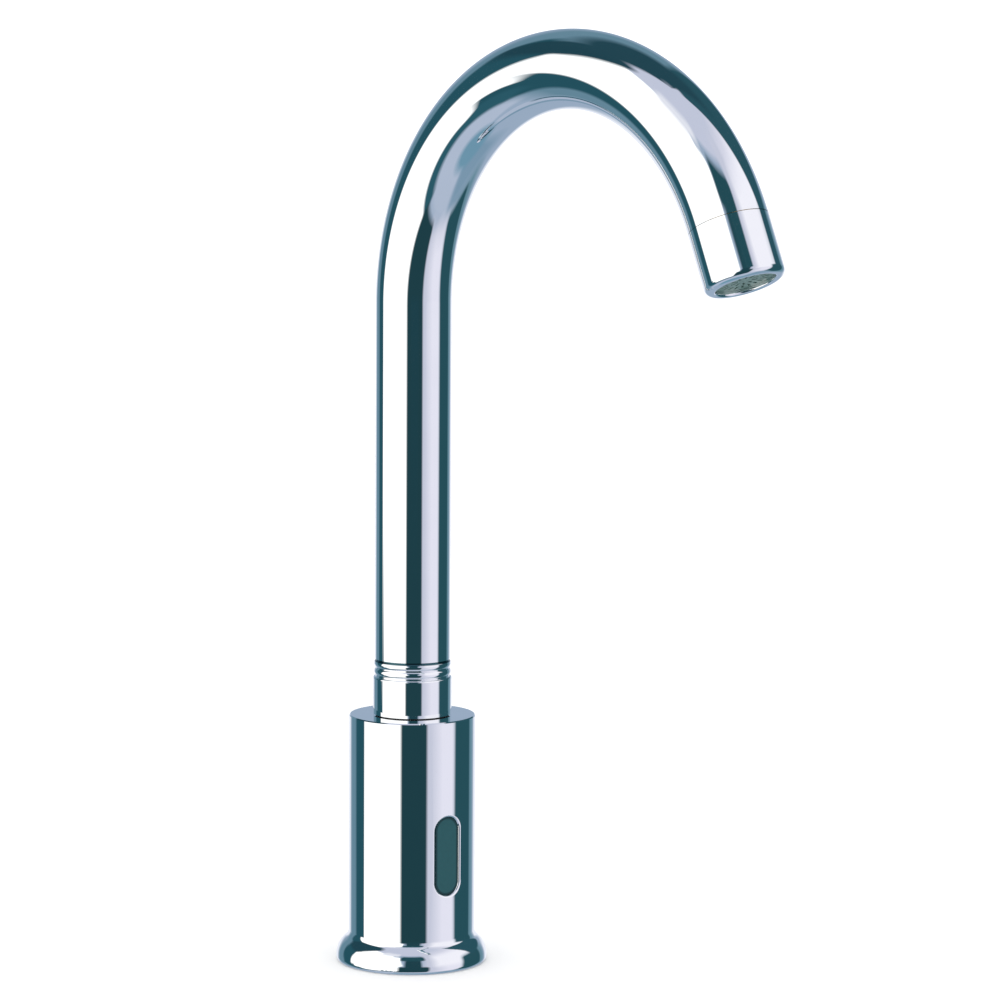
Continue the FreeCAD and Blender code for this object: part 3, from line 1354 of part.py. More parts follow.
def make_spout_tube():
    """Bent brass tube: straight up from the collar, then over in one arch."""
    body = new_body("spout_tube")
    path = new_sketch(body, "YZ_Plane")
    radius, sweep = s.arch_radius, s.arch_angle
    foot = Vector(0, collar_top.number, 0)
    spring_line = Vector(0, s.arch_height.number, 0)
    centre = Vector(-radius.number, s.arch_height.number, 0)
    rise = path.addGeometry(Part.LineSegment(foot, spring_line))
    arch = path.addGeometry(Part.ArcOfCircle(
        Part.Circle(centre, Vector(0, 0, 1), radius.number), 0, math.radians(sweep.number)))
    fix_point(path, rise, 1, 0, collar_top)
    fix_point(path, rise, 2, 0, s.arch_height)
    path.addConstraint(Sketcher.Constraint("Coincident", rise, 2, arch, 1))
    path.addConstraint(Sketcher.Constraint("Horizontal", arch, 3, arch, 1))
    fix_radius(path, arch, radius)
    bound = path.addConstraint(Sketcher.Constraint("Angle", arch, math.radians(sweep.number)))
    path.setExpression(f"Constraints[{bound}]", f"{sweep.text} * 1deg")
    section = new_sketch(body, "XY_Plane", collar_top)
    draw_circle(section, 0, 0, s.tube_radius)
    draw_circle(section, 0, 0, tube_bore)
    pipe = body.newObject("PartDesign::AdditivePipe", "spout_tube_pipe")
    pipe.Profile = section
    pipe.Spine = path
    pipe.Mode = "Frenet"
    settle(pipe)
    length = s.arch_height.number - collar_top.number + radius.number * math.radians(sweep.number)
    area = math.pi * (s.tube_radius.number ** 2 - tube_bore.number ** 2)
    print(f"spout tube: volume {pipe.Shape.Volume:.0f}, section times length {area * length:.0f} mm3")
    return keep(swing(body), "spout_tube")


# outlet and aerator
def make_outlet_adapter():
    """Threaded ring soldered into the tube's end, which the nozzle screws onto."""
    inner = adapter_radius - s.adapter_wall
    return seat_on_outlet(turned("outlet_adapter", [
        (inner, -s.adapter_entry), (adapter_radius, -s.adapter_entry), (adapter_radius, s.adapter_reach),
        (inner, s.adapter_reach)]))


def make_outlet_nozzle():
    """Chromed nozzle, flush with the tube, that houses the aerator."""
    upper_bore = adapter_radius + s.close_fit
    lower_bore = aerator_radius + s.close_fit
    return seat_on_outlet(turned("outlet_nozzle", [
        (upper_bore, s.nozzle_seam),
        (s.tube_radius, s.nozzle_seam),
        (s.tube_radius, s.nozzle_length - s.nozzle_edge),
        (s.tube_radius - s.nozzle_edge, s.nozzle_length, s.nozzle_edge),
        (lower_bore + s.mouth_edge, s.nozzle_length),
        (lower_bore, s.nozzle_length - s.mouth_edge, s.mouth_edge),
        (lower_bore, nozzle_step),
        (upper_bore, nozzle_step),
    ]))


def make_aerator_seal():
    """Rubber washer between the adapter and the cartridge."""
    inner = adapter_radius - s.aerator_seal_width
    return seat_on_outlet(turned("aerator_seal", [
        (inner, s.adapter_reach), (adapter_radius, s.adapter_reach), (adapter_radius, cartridge_top),
        (inner, cartridge_top)]))


def make_aerator_cartridge():
    """Moulded cartridge: flange on the nozzle's step, slotted face in the mouth."""
    ledge = cartridge_top + s.screen_thickness + s.regulator_thickness
    body = turned("aerator_cartridge", [
        (screen_seat, cartridge_top),
        (adapter_radius, cartridge_top),
        (adapter_radius, nozzle_step),
        (aerator_radius, nozzle_step),
        (aerator_radius, cartridge_foot),
        (0, cartridge_foot),
        (0, cartridge_foot - s.aerator_face),
        (cartridge_bore, cartridge_foot - s.aerator_face),
        (cartridge_bore, ledge),
        (screen_seat, ledge),
    ])
    half = s.slot_width / 2
    rings = ((outer_slot_inner, outer_slot_outer, s.outer_slot_count),
             (inner_slot_inner, inner_slot_outer, s.inner_slot_count))
    for inner, outer, count in rings:
        slot = cut(body, "XY_Plane", cartridge_foot - s.aerator_face, s.aerator_face,
                   lambda sketch: draw_outline(sketch, [(-half, inner), (half, inner), (half, outer),
                                                        (-half, outer)]), along=True)
        repeat(body, slot, count)
    return seat_on_outlet(body)


def make_aerator_screen():
    """Steel screen on top of the cartridge."""
    radius = screen_seat - s.close_fit
    top = cartridge_top + s.screen_thickness
    body = turned("aerator_screen", [(0, cartridge_top), (radius, cartridge_top), (radius, top), (0, top)])
    hole = drill_up(body, 0, screen_hole_circle, s.screen_hole_radius, cartridge_top, s.screen_thickness)
    repeat(body, hole, s.screen_hole_count)
    return seat_on_outlet(body)


def make_flow_regulator():
    """Plastic disc with metering holes, on the cartridge's ledge under the screen."""
    radius = screen_seat - s.close_fit
    low = cartridge_top + s.screen_thickness
    body = turned("flow_regulator", [(0, low), (radius, low), (radius, low + s.regulator_thickness),
                                     (0, low + s.regulator_thickness)])
    hole = drill_up(body, 0, regulator_hole_circle, s.regulator_hole_radius, low, s.regulator_thickness)
    repeat(body, hole, s.regulator_hole_count)
    return seat_on_outlet(body)


# build, check and write
make_body_shell()
make_base_gasket()
make_base_block()
make_base_screws()
make_gallery_plug()
make_inlet_strainer()
make_cable_gland()
make_riser_tube()
make_riser_seals()
make_valve_body()
make_valve_circlip()
make_diaphragm_membrane()
make_diaphragm_insert()
make_valve_bonnet()
make_bonnet_screws()
make_core_tube()
make_plunger()
make_plunger_tip()
make_plunger_spring()
make_solenoid_bobbin()
make_coil_winding()
make_coil_can()
make_coil_nut()
make_solenoid_leads()
make_sensor_lens()
make_window_seal()
make_sensor_capsule()
make_sensor_cover()
make_sensor_board()
make_control_chip()
make_eye("ir_emitter", 1)
make_eye("ir_receiver", -1)
make_sensor_screws()
make_spout_socket()
make_socket_seal()
make_thrust_washer()
make_spout_spigot()
make_spigot_rings()
make_retaining_clip()
make_spout_collar()
make_spout_tube()
make_outlet_adapter()
make_outlet_nozzle()
make_aerator_seal()
make_aerator_cartridge()
make_aerator_screen()
make_flow_regulator()

doc.recompute()
for part in doc.Objects:
    if "Invalid" in part.State or "Error" in part.State:
        raise RuntimeError(f"{part.Label} did not recompute: {part.State}")
for node in nodes:
    if node.Shape.isNull() or not node.Shape.isValid() or not node.Shape.Solids:
        raise RuntimeError(f"{node.Label} has no valid solid")

os.makedirs("parts", exist_ok=True)
for node in nodes:
    node.Shape.exportStep(f"parts/{node.Label}.step")
    box = node.Shape.BoundBox
    print(f"{node.Label}: {len(node.Shape.Solids)} solid(s), {node.Shape.Volume:.1f} mm3,"
          f" z {box.ZMin:.2f} to {box.ZMax:.2f}")
print(f"{len(nodes)} nodes")
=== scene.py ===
import json
from math import atan2, cos, pi, radians, sin

import bpy
from mathutils import Matrix, Vector


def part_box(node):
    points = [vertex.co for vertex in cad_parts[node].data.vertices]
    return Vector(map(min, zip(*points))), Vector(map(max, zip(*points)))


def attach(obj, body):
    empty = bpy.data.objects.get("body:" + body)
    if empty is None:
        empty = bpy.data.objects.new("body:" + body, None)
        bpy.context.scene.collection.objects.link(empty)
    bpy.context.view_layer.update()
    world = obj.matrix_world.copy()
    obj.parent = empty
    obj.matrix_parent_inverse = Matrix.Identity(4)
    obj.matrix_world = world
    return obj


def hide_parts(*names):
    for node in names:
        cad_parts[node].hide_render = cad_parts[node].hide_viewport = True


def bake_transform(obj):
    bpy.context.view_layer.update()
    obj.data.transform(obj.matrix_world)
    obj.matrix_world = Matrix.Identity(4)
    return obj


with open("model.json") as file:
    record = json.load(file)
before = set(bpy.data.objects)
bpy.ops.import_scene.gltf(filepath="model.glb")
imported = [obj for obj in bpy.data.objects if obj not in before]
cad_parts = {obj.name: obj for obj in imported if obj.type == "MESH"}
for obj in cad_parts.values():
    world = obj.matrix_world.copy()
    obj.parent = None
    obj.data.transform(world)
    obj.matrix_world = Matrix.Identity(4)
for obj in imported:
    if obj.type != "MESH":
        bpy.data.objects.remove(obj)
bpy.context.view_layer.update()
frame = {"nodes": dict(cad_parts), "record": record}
nodes = frame["nodes"]
print("frame loaded:", len(nodes), "nodes")


# the same small calls build shader trees and geometry trees
def addNode(tree, kind, inputs=None, **settings):
    node = tree.nodes.new(kind)
    for key, value in settings.items():
        setattr(node, key, value)
    for key, value in (inputs or {}).items():
        node.inputs[key].default_value = value
    return node


def link(tree, fromSocket, toSocket):
    tree.links.new(fromSocket, toSocket)


def calc(tree, operation, *terms):
    # one sum on sockets and numbers, which both sorts of tree do with the same node
    node = addNode(tree, "ShaderNodeMath", operation=operation)
    for socket, term in zip(node.inputs, terms):
        if isinstance(term, (int, float)):
            socket.default_value = term
        else:
            link(tree, term, socket)
    return node.outputs[0]


def splitVector(tree, vector):
    node = addNode(tree, "ShaderNodeSeparateXYZ")
    link(tree, vector, node.inputs["Vector"])
    return node.outputs


def freshMaterial(name):
    material = bpy.data.materials.new(name)
    material.use_nodes = True
    tree = material.node_tree
    return material, tree, tree.nodes["Principled BSDF"]


def fromScreen(red, green, blue, gain=1.0):
    # a colour as a screen shows it, 0 to 255, in the linear values that nodes take (the sRGB curve)
    linear = []
    for value in (red / 255, green / 255, blue / 255):
        linear.append(gain * (value / 12.92 if value <= 0.04045 else ((value + 0.055) / 1.055) ** 2.4))
    return tuple(linear)


def paint(material, name):
    mesh = nodes[name].data
    if not mesh.materials:
        mesh.materials.append(material)
    for index in range(len(mesh.materials)):
        mesh.materials[index] = material


# effects that several finishes share
def addSocket(group, name, direction, kind, value=None):
    socket = group.interface.new_socket(name, in_out=direction, socket_type="NodeSocket" + kind)
    if value is not None:
        socket.default_value = value


grainLook = {"scale": 900.0, "bump": 0.1, "detail": 4.0, "roughness": 0.6, "depth": 0.00004}


def makeFineGrain():
    # a mottle between 0 and 1, and a bumped normal
    group = bpy.data.node_groups.new("fineGrain", "ShaderNodeTree")
    addSocket(group, "Scale", "INPUT", "Float", grainLook["scale"])
    addSocket(group, "Bump", "INPUT", "Float", grainLook["bump"])
    addSocket(group, "Mottle", "OUTPUT", "Float")
    addSocket(group, "Normal", "OUTPUT", "Vector")
    start = addNode(group, "NodeGroupInput")
    end = addNode(group, "NodeGroupOutput")
    place = addNode(group, "ShaderNodeTexCoord")
    noise = addNode(group, "ShaderNodeTexNoise", {
        "Detail": grainLook["detail"], "Roughness": grainLook["roughness"]})
    bump = addNode(group, "ShaderNodeBump", {"Distance": grainLook["depth"]})
    link(group, place.outputs["Object"], noise.inputs["Vector"])
    link(group, start.outputs["Scale"], noise.inputs["Scale"])
    link(group, start.outputs["Bump"], bump.inputs["Strength"])
    link(group, noise.outputs["Fac"], bump.inputs["Height"])
    link(group, noise.outputs["Fac"], end.inputs["Mottle"])
    link(group, bump.outputs["Normal"], end.inputs["Normal"])
    return group


marksLook = {"rings": 2500.0, "detail": 2.0}


def makeTurningMarks():
    # fine rings round the Z axis, as a lathe leaves them, between 0 and 1
    group = bpy.data.node_groups.new("turningMarks", "ShaderNodeTree")
    addSocket(group, "Rings", "INPUT", "Float", marksLook["rings"])
    addSocket(group, "Marks", "OUTPUT", "Float")
    start = addNode(group, "NodeGroupInput")
    end = addNode(group, "NodeGroupOutput")
    place = addNode(group, "ShaderNodeTexCoord")
    at = splitVector(group, place.outputs["Object"])
    across = calc(group, "MULTIPLY", at["X"], at["X"])
    along = calc(group, "MULTIPLY", at["Y"], at["Y"])
    radius = calc(group, "SQRT", calc(group, "ADD", across, along))
    climb = calc(group, "ADD", radius, at["Z"])
    noise = addNode(group, "ShaderNodeTexNoise", {"Detail": marksLook["detail"]},
                    noise_dimensions="1D")
    link(group, climb, noise.inputs["W"])
    link(group, start.outputs["Rings"], noise.inputs["Scale"])
    link(group, noise.outputs["Fac"], end.inputs["Marks"])
    return group


fineGrain = makeFineGrain()
turningMarks = makeTurningMarks()


def useGroup(tree, group, values):
    node = addNode(tree, "ShaderNodeGroup")
    node.node_tree = group
    for key, value in values.items():
        node.inputs[key].default_value = value
    return node


def blendColours(tree, factor, low, high, start=0.3, stop=0.7):
    # from low at start to high at stop
    ramp = addNode(tree, "ShaderNodeValToRGB")
    first, last = ramp.color_ramp.elements
    first.position, first.color = start, (*low, 1)
    last.position, last.color = stop, (*high, 1)
    link(tree, factor, ramp.inputs["Fac"])
    return ramp.outputs["Color"]


def spread(tree, factor, low, high):
    # a factor between 0 and 1 as a value between low and high
    scale = addNode(tree, "ShaderNodeMapRange", {"To Min": low, "To Max": high})
    link(tree, factor, scale.inputs["Value"])
    return scale.outputs["Result"]


# finishes
chromeLook = {
    "tint": (0.955, 0.965, 0.97),
    "dullTint": (0.925, 0.94, 0.95),
    "roughness": (0.012, 0.04),
    "clouds": {"Scale": 60.0, "Detail": 5.0, "Roughness": 0.55},
    "ripples": {"Scale": 14.0, "Detail": 1.0},
    "rippleDepth": 0.000006,
}
# painted shade: a dark band round the collar's top edge, standing in for the shadow in the gap where the
# tube goes in
seamShade = {"height": 0.0011, "soft": 0.0003, "tint": (0.05, 0.12, 0.14)}


def makeChrome(name, seamShadeTop=None):
    # with seamShadeTop, the edge just under that height is painted dark as painted shade, the shadow in
    # the gap where the tube goes into the collar
    material, tree, shader = freshMaterial(name)
    place = addNode(tree, "ShaderNodeTexCoord")
    cloud = addNode(tree, "ShaderNodeTexNoise", chromeLook["clouds"])
    link(tree, place.outputs["Object"], cloud.inputs["Vector"])
    clouding = cloud.outputs["Fac"]
    colour = blendColours(tree, clouding, chromeLook["dullTint"], chromeLook["tint"])
    # painted shade: the base colour turns dark teal over the band under seamShadeTop
    if seamShadeTop is not None:
        seamShadeFoot = seamShadeTop - seamShade["height"]
        cover = addNode(tree, "ShaderNodeMapRange", {
            "From Min": seamShadeFoot, "From Max": seamShadeFoot + seamShade["soft"]})
        link(tree, splitVector(tree, place.outputs["Object"])["Z"], cover.inputs["Value"])
        shade = addNode(tree, "ShaderNodeMix", data_type="RGBA")
        shade.inputs["B"].default_value = (*seamShade["tint"], 1)
        link(tree, cover.outputs["Result"], shade.inputs["Factor"])
        link(tree, colour, shade.inputs["A"])
        colour = shade.outputs["Result"]
    link(tree, colour, shader.inputs["Base Color"])
    link(tree, spread(tree, clouding, *chromeLook["roughness"]), shader.inputs["Roughness"])
    # the slow ripple that hand polishing leaves
    ripple = addNode(tree, "ShaderNodeTexNoise", chromeLook["ripples"])
    bump = addNode(tree, "ShaderNodeBump", {"Strength": 1.0, "Distance": chromeLook["rippleDepth"]})
    link(tree, place.outputs["Object"], ripple.inputs["Vector"])
    link(tree, ripple.outputs["Fac"], bump.inputs["Height"])
    link(tree, bump.outputs["Normal"], shader.inputs["Normal"])
    shader.inputs["Metallic"].default_value = 1.0
    return material


def makeFinish(name, colour, shade, roughness, metallic=0.0, bump=grainLook["bump"]):
    # a mottled finish between colour and shade
    material, tree, shader = freshMaterial(name)
    grain = useGroup(tree, fineGrain, {"Bump": bump})
    mottle = grain.outputs["Mottle"]
    link(tree, blendColours(tree, mottle, shade, colour), shader.inputs["Base Color"])
    link(tree, spread(tree, mottle, *roughness), shader.inputs["Roughness"])
    link(tree, grain.outputs["Normal"], shader.inputs["Normal"])
    shader.inputs["Metallic"].default_value = metallic
    return material


def makeTurnedMetal(name, colour, shade, roughness, rings):
    # metal from the lathe: rings in its gloss and its colour
    material, tree, shader = freshMaterial(name)
    marks = useGroup(tree, turningMarks, {"Rings": rings}).outputs["Marks"]
    link(tree, blendColours(tree, marks, shade, colour), shader.inputs["Base Color"])
    link(tree, spread(tree, marks, *roughness), shader.inputs["Roughness"])
    shader.inputs["Metallic"].default_value = 1.0
    return material


lensLook = {
    "glass": fromScreen(36, 78, 84),
    "edge": fromScreen(20, 52, 58),
    "edgeWidth": 0.0006,
    "edgeSoft": 0.0003,
    "specks": 700.0,
    "speckShare": 0.12,
    "roughness": (0.06, 0.16),
    "specular": 0.15,
}


def makeLens():
    # dark infrared glass with a darker line along its edge
    material, tree, shader = freshMaterial("darkLens")
    low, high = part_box("sensor_lens")
    halfWidth = (high.x - low.x) / 2
    straight = (high.z - low.z) / 2 - halfWidth
    place = addNode(tree, "ShaderNodeTexCoord")
    at = splitVector(tree, place.outputs["Object"])
    upright = calc(tree, "ABSOLUTE", calc(tree, "SUBTRACT", at["Z"], (low.z + high.z) / 2))
    beyond = calc(tree, "MAXIMUM", calc(tree, "SUBTRACT", upright, straight), 0.0)
    across = calc(tree, "POWER", calc(tree, "ABSOLUTE", at["X"]), 2.0)
    reach = calc(tree, "SQRT", calc(tree, "ADD", across, calc(tree, "POWER", beyond, 2.0)))
    edge = addNode(tree, "ShaderNodeMapRange", {
        "From Min": halfWidth - lensLook["edgeWidth"] - lensLook["edgeSoft"],
        "From Max": halfWidth - lensLook["edgeWidth"]})
    link(tree, reach, edge.inputs["Value"])
    grain = useGroup(tree, fineGrain, {"Scale": lensLook["specks"], "Bump": 0.0})
    mottle = grain.outputs["Mottle"]
    speck = calc(tree, "MULTIPLY", mottle, lensLook["speckShare"])
    darkness = calc(tree, "ADD", edge.outputs["Result"], speck)
    link(tree, blendColours(tree, darkness, lensLook["glass"], lensLook["edge"], 0.0, 1.0),
         shader.inputs["Base Color"])
    link(tree, spread(tree, mottle, *lensLook["roughness"]), shader.inputs["Roughness"])
    shader.inputs["Specular IOR Level"].default_value = lensLook["specular"]
    return material


chrome = makeChrome("polishedChrome")
finishes = {
    # metals: colour, shade, roughness, rings; the rest: colour, shade, roughness
    "chrome": chrome,
    "lens": makeLens(),
    "brass": makeTurnedMetal(
        "machinedBrass", (0.62, 0.44, 0.2), (0.5, 0.34, 0.14), (0.18, 0.34), 2500),
    "steel": makeTurnedMetal(
        "stainlessSteel", (0.58, 0.59, 0.6), (0.45, 0.46, 0.47), (0.2, 0.38), 3200),
    "rubber": makeFinish(
        "blackRubber", (0.022, 0.022, 0.023), (0.01, 0.01, 0.011), (0.55, 0.75), bump=0.3),
    "moulding": makeFinish(
        "glassFilledPlastic", (0.035, 0.038, 0.04), (0.02, 0.022, 0.024), (0.4, 0.55), bump=0.25),
    "aerator": makeFinish(
        "greyGreenPlastic", fromScreen(104, 130, 124), fromScreen(84, 110, 105), (0.35, 0.5),
        bump=0.2),
    "white_plastic": makeFinish(
        "whiteSlipPlastic", (0.72, 0.72, 0.68), (0.6, 0.6, 0.56), (0.35, 0.5)),
    "copper": makeFinish(
        "enamelledCopper", (0.5, 0.17, 0.06), (0.36, 0.1, 0.035), (0.2, 0.35), metallic=1.0),
    "circuit_board": makeFinish(
        "greenSolderMask", (0.01, 0.1, 0.035), (0.006, 0.06, 0.022), (0.25, 0.4)),
}
# nickel-plated brass, its colour darkened well below nickel's as painted shade, so that the gap under
# the collar reads dark
gapShadeBrass = makeTurnedMetal(
    "nickelledBrassGapShade", (0.16, 0.2, 0.22), (0.1, 0.13, 0.15), (0.2, 0.35), 2500)
ownFinishes = {  # the collar with painted shade along its seam, and what shows in the gap under it, the brass there darkened as painted shade
    "spout_collar": makeChrome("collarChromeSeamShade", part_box("spout_collar")[1].z),
    "spout_socket": gapShadeBrass,
    "spout_spigot": gapShadeBrass,
    "thrust_washer": finishes["moulding"],
}
for entry in frame["record"]["subparts"]:
    node = entry["node"]
    paint(ownFinishes.get(node, finishes[entry["material_slot"]]), node)
print("finishes done:", len(finishes))


# pieces that geometry nodes build by a rule
def makeRule(name, inputs):
    # an empty geometry tree with a named input per entry of inputs: name -> (kind, value)
    tree = bpy.data.node_groups.new(name, "GeometryNodeTree")
    tree.is_modifier = True
    for key, (kind, value) in inputs.items():
        addSocket(tree, key, "INPUT", kind, value)
    addSocket(tree, "Material", "INPUT", "Material")
    addSocket(tree, "Geometry", "OUTPUT", "Geometry")
    return tree, addNode(tree, "NodeGroupInput"), addNode(tree, "NodeGroupOutput")


def closeRule(tree, start, end, geometry):
    # smooth faces, real geometry and the material, then the tree's output
    smooth = addNode(tree, "GeometryNodeSetShadeSmooth")
    whole = addNode(tree, "GeometryNodeRealizeInstances")
    finish = addNode(tree, "GeometryNodeSetMaterial")
    link(tree, geometry, smooth.inputs["Geometry"])
    link(tree, smooth.outputs["Geometry"], whole.inputs["Geometry"])
    link(tree, whole.outputs["Geometry"], finish.inputs["Geometry"])
    link(tree, start.outputs["Material"], finish.inputs["Material"])
    link(tree, finish.outputs["Geometry"], end.inputs["Geometry"])
    return tree


sharpAngle = radians(40)


def grow(name, tree, values, material, wall=0.0):
    # run the rule once and keep its result as a plain mesh; wall makes it a shell of that thickness
    seed = bpy.data.objects.new(name + "Seed", bpy.data.meshes.new(name + "Seed"))
    bpy.context.scene.collection.objects.link(seed)
    rule = seed.modifiers.new("rule", "NODES")
    rule.node_group = tree
    sockets = {item.name: item.identifier for item in tree.interface.items_tree
               if item.in_out == "INPUT"}
    for key, value in values.items():
        rule[sockets[key]] = value
    rule[sockets["Material"]] = material
    if wall:
        shell = seed.modifiers.new("wall", "SOLIDIFY")
        shell.thickness = wall
        shell.offset = -1.0
    graph = bpy.context.evaluated_depsgraph_get()
    mesh = bpy.data.meshes.new_from_object(seed.evaluated_get(graph))
    bpy.data.objects.remove(seed)
    mesh.name = name
    mesh.set_sharp_from_angle(angle=sharpAngle)
    piece = bpy.data.objects.new(name, mesh)
    bpy.context.scene.collection.objects.link(piece)
    return piece


nozzleLow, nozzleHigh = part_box("outlet_nozzle")
nozzleMiddle = (nozzleLow + nozzleHigh) / 2
spoutShape = {
    "Foot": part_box("spout_tube")[0].z,
    "Arch Height": 0.246,
    "Arch Radius": 0.086,
    "Arch Angle": radians(156.3),  # from the foot of the arch to the nozzle's seam
    "Tube Radius": 0.014,
    "Turn": atan2(nozzleMiddle.x, -nozzleMiddle.y),
    "Rings": 250,
    "Sides": 96,
}
spoutWall = 0.0012
riseShare = 0.04  # share of the rings on the straight rise


def spoutRule():
    # a circle swept up the rise and over the arch
    tree, start, end = makeRule("spoutSweep", {
        "Foot": ("Float", 0.1), "Arch Height": ("Float", 0.25), "Arch Radius": ("Float", 0.1),
        "Arch Angle": ("Float", pi), "Tube Radius": ("Float", 0.01), "Turn": ("Float", 0.0),
        "Rings": ("Int", 100), "Sides": ("Int", 32)})
    value = start.outputs
    line = addNode(tree, "GeometryNodeCurvePrimitiveLine")
    points = addNode(tree, "GeometryNodeResampleCurve")
    link(tree, line.outputs["Curve"], points.inputs["Curve"])
    link(tree, value["Rings"], points.inputs["Count"])
    share = addNode(tree, "GeometryNodeSplineParameter").outputs["Factor"]
    risen = calc(tree, "MINIMUM", calc(tree, "DIVIDE", share, riseShare), 1.0)
    straight = calc(tree, "SUBTRACT", value["Arch Height"], value["Foot"])
    rise = calc(tree, "MULTIPLY", risen, straight)
    past = calc(tree, "MAXIMUM", calc(tree, "SUBTRACT", share, riseShare), 0.0)
    turned = calc(tree, "DIVIDE", past, 1.0 - riseShare)
    angle = calc(tree, "MULTIPLY", turned, value["Arch Angle"])
    back = calc(tree, "SUBTRACT", calc(tree, "COSINE", angle), 1.0)
    up = calc(tree, "MULTIPLY", calc(tree, "SINE", angle), value["Arch Radius"])
    spot = addNode(tree, "ShaderNodeCombineXYZ")
    link(tree, calc(tree, "MULTIPLY", back, value["Arch Radius"]), spot.inputs["Y"])
    link(tree, calc(tree, "ADD", calc(tree, "ADD", value["Foot"], rise), up), spot.inputs["Z"])
    place = addNode(tree, "GeometryNodeSetPosition")
    link(tree, points.outputs["Curve"], place.inputs["Geometry"])
    link(tree, spot.outputs["Vector"], place.inputs["Position"])
    circle = addNode(tree, "GeometryNodeCurvePrimitiveCircle")
    link(tree, value["Sides"], circle.inputs["Resolution"])
    link(tree, value["Tube Radius"], circle.inputs["Radius"])
    sweep = addNode(tree, "GeometryNodeCurveToMesh")
    link(tree, place.outputs["Geometry"], sweep.inputs["Curve"])
    link(tree, circle.outputs["Curve"], sweep.inputs["Profile Curve"])
    swing = addNode(tree, "ShaderNodeCombineXYZ")
    link(tree, value["Turn"], swing.inputs["Z"])
    swung = addNode(tree, "GeometryNodeTransform")
    link(tree, sweep.outputs["Mesh"], swung.inputs["Geometry"])
    link(tree, swing.outputs["Vector"], swung.inputs["Rotation"])
    return closeRule(tree, start, end, swung.outputs["Geometry"])


spoutTube = grow("spoutTube", spoutRule(), spoutShape, chrome, spoutWall)
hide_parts("spout_tube")
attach(spoutTube, "spout")
print("spout tube swept")


def coilRule():
    # one strand wound round the Z axis: a wire's turns, or a thread's ridge
    tree, start, end = makeRule("woundStrand", {
        "Radius": ("Float", 0.01), "Pitch": ("Float", 0.001), "Length": ("Float", 0.01),
        "Strand": ("Float", 0.0005), "Strand Sides": ("Int", 8), "Steps": ("Int", 48),
        "Place": ("Vector", (0, 0, 0))})
    value = start.outputs
    spiral = addNode(tree, "GeometryNodeCurveSpiral")
    link(tree, value["Steps"], spiral.inputs["Resolution"])
    link(tree, calc(tree, "DIVIDE", value["Length"], value["Pitch"]), spiral.inputs["Rotations"])
    link(tree, value["Radius"], spiral.inputs["Start Radius"])
    link(tree, value["Radius"], spiral.inputs["End Radius"])
    link(tree, value["Length"], spiral.inputs["Height"])
    section = addNode(tree, "GeometryNodeCurvePrimitiveCircle")
    link(tree, value["Strand Sides"], section.inputs["Resolution"])
    link(tree, value["Strand"], section.inputs["Radius"])
    sweep = addNode(tree, "GeometryNodeCurveToMesh", {"Fill Caps": True})
    link(tree, spiral.outputs["Curve"], sweep.inputs["Curve"])
    link(tree, section.outputs["Curve"], sweep.inputs["Profile Curve"])
    moved = addNode(tree, "GeometryNodeTransform")
    link(tree, sweep.outputs["Mesh"], moved.inputs["Geometry"])
    link(tree, value["Place"], moved.inputs["Translation"])
    return closeRule(tree, start, end, moved.outputs["Geometry"])


woundStrand = coilRule()


windingLook = {"wire": 0.00012, "spacing": 2.05}  # the wire's radius, and its pitch in radii


def makeWinding():
    # the outer layer of the coil's wire, half sunk in the winding under it
    low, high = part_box("coil_winding")
    wire = windingLook["wire"]
    values = {"Radius": high.x, "Pitch": wire * windingLook["spacing"],
              "Length": high.z - low.z - wire * 2, "Strand": wire,
              "Strand Sides": 6, "Steps": 40, "Place": (0, 0, low.z + wire)}
    winding = grow("coilTurns", woundStrand, values, finishes["copper"])
    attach(winding, "tap_body")


springLook = {"wire": 0.00025, "turns": 8}  # the wire's radius


def makeSpring():
    # its foot sits in the valve and its head at the plunger; it is built once at this length and stays
    # fixed when the plunger moves
    low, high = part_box("plunger_spring")
    wire = springLook["wire"]
    length = high.z - low.z - 2 * wire
    values = {"Radius": high.x - wire, "Pitch": length / springLook["turns"], "Length": length,
              "Strand": wire, "Strand Sides": 12, "Steps": 48, "Place": (0, 0, low.z + wire)}
    spring = grow("plungerSpring", woundStrand, values, finishes["steel"])
    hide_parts("plunger_spring")
    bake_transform(spring)


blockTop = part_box("base_block")[1].z
ridgeShare = 0.3  # the ridge's radius in pitches
threads = {
    # name: (x, foot, length, bore radius, pitch)
    "inletThread": (0.0, 0.0006, 0.0068, 0.0045, 0.001),
    "leftStudThread": (-0.012, 0.0006, blockTop * 0.5, 0.0025, 0.0008),
    "rightStudThread": (0.012, 0.0006, blockTop * 0.5, 0.0025, 0.0008),
}


def makeThreads():
    # the ridges in the block's tapped holes
    for name, (across, foot, length, bore, pitch) in threads.items():
        values = {"Radius": bore, "Pitch": pitch, "Length": length, "Strand": pitch * ridgeShare,
                  "Strand Sides": 4, "Steps": 48, "Place": (across, 0, foot)}
        ridge = grow(name, woundStrand, values, finishes["brass"])
        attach(ridge, "tap_body")


makeWinding()
makeSpring()
makeThreads()
print("winding, spring and threads wound")

# camera, from the fit of the body, the arch and the outlet to the photograph
cameraFit = {
    "focalPixels": 3834.46, "distance": 1.410686, "across": 0.037848, "height": 0.331477,
    "pitch": 6.40, "yaw": -0.23, "roll": 0.35, "turn": 36.64,
    "photoPixels": 1000.0, "sensorWidth": 36.0, "sight": 20.0,
}


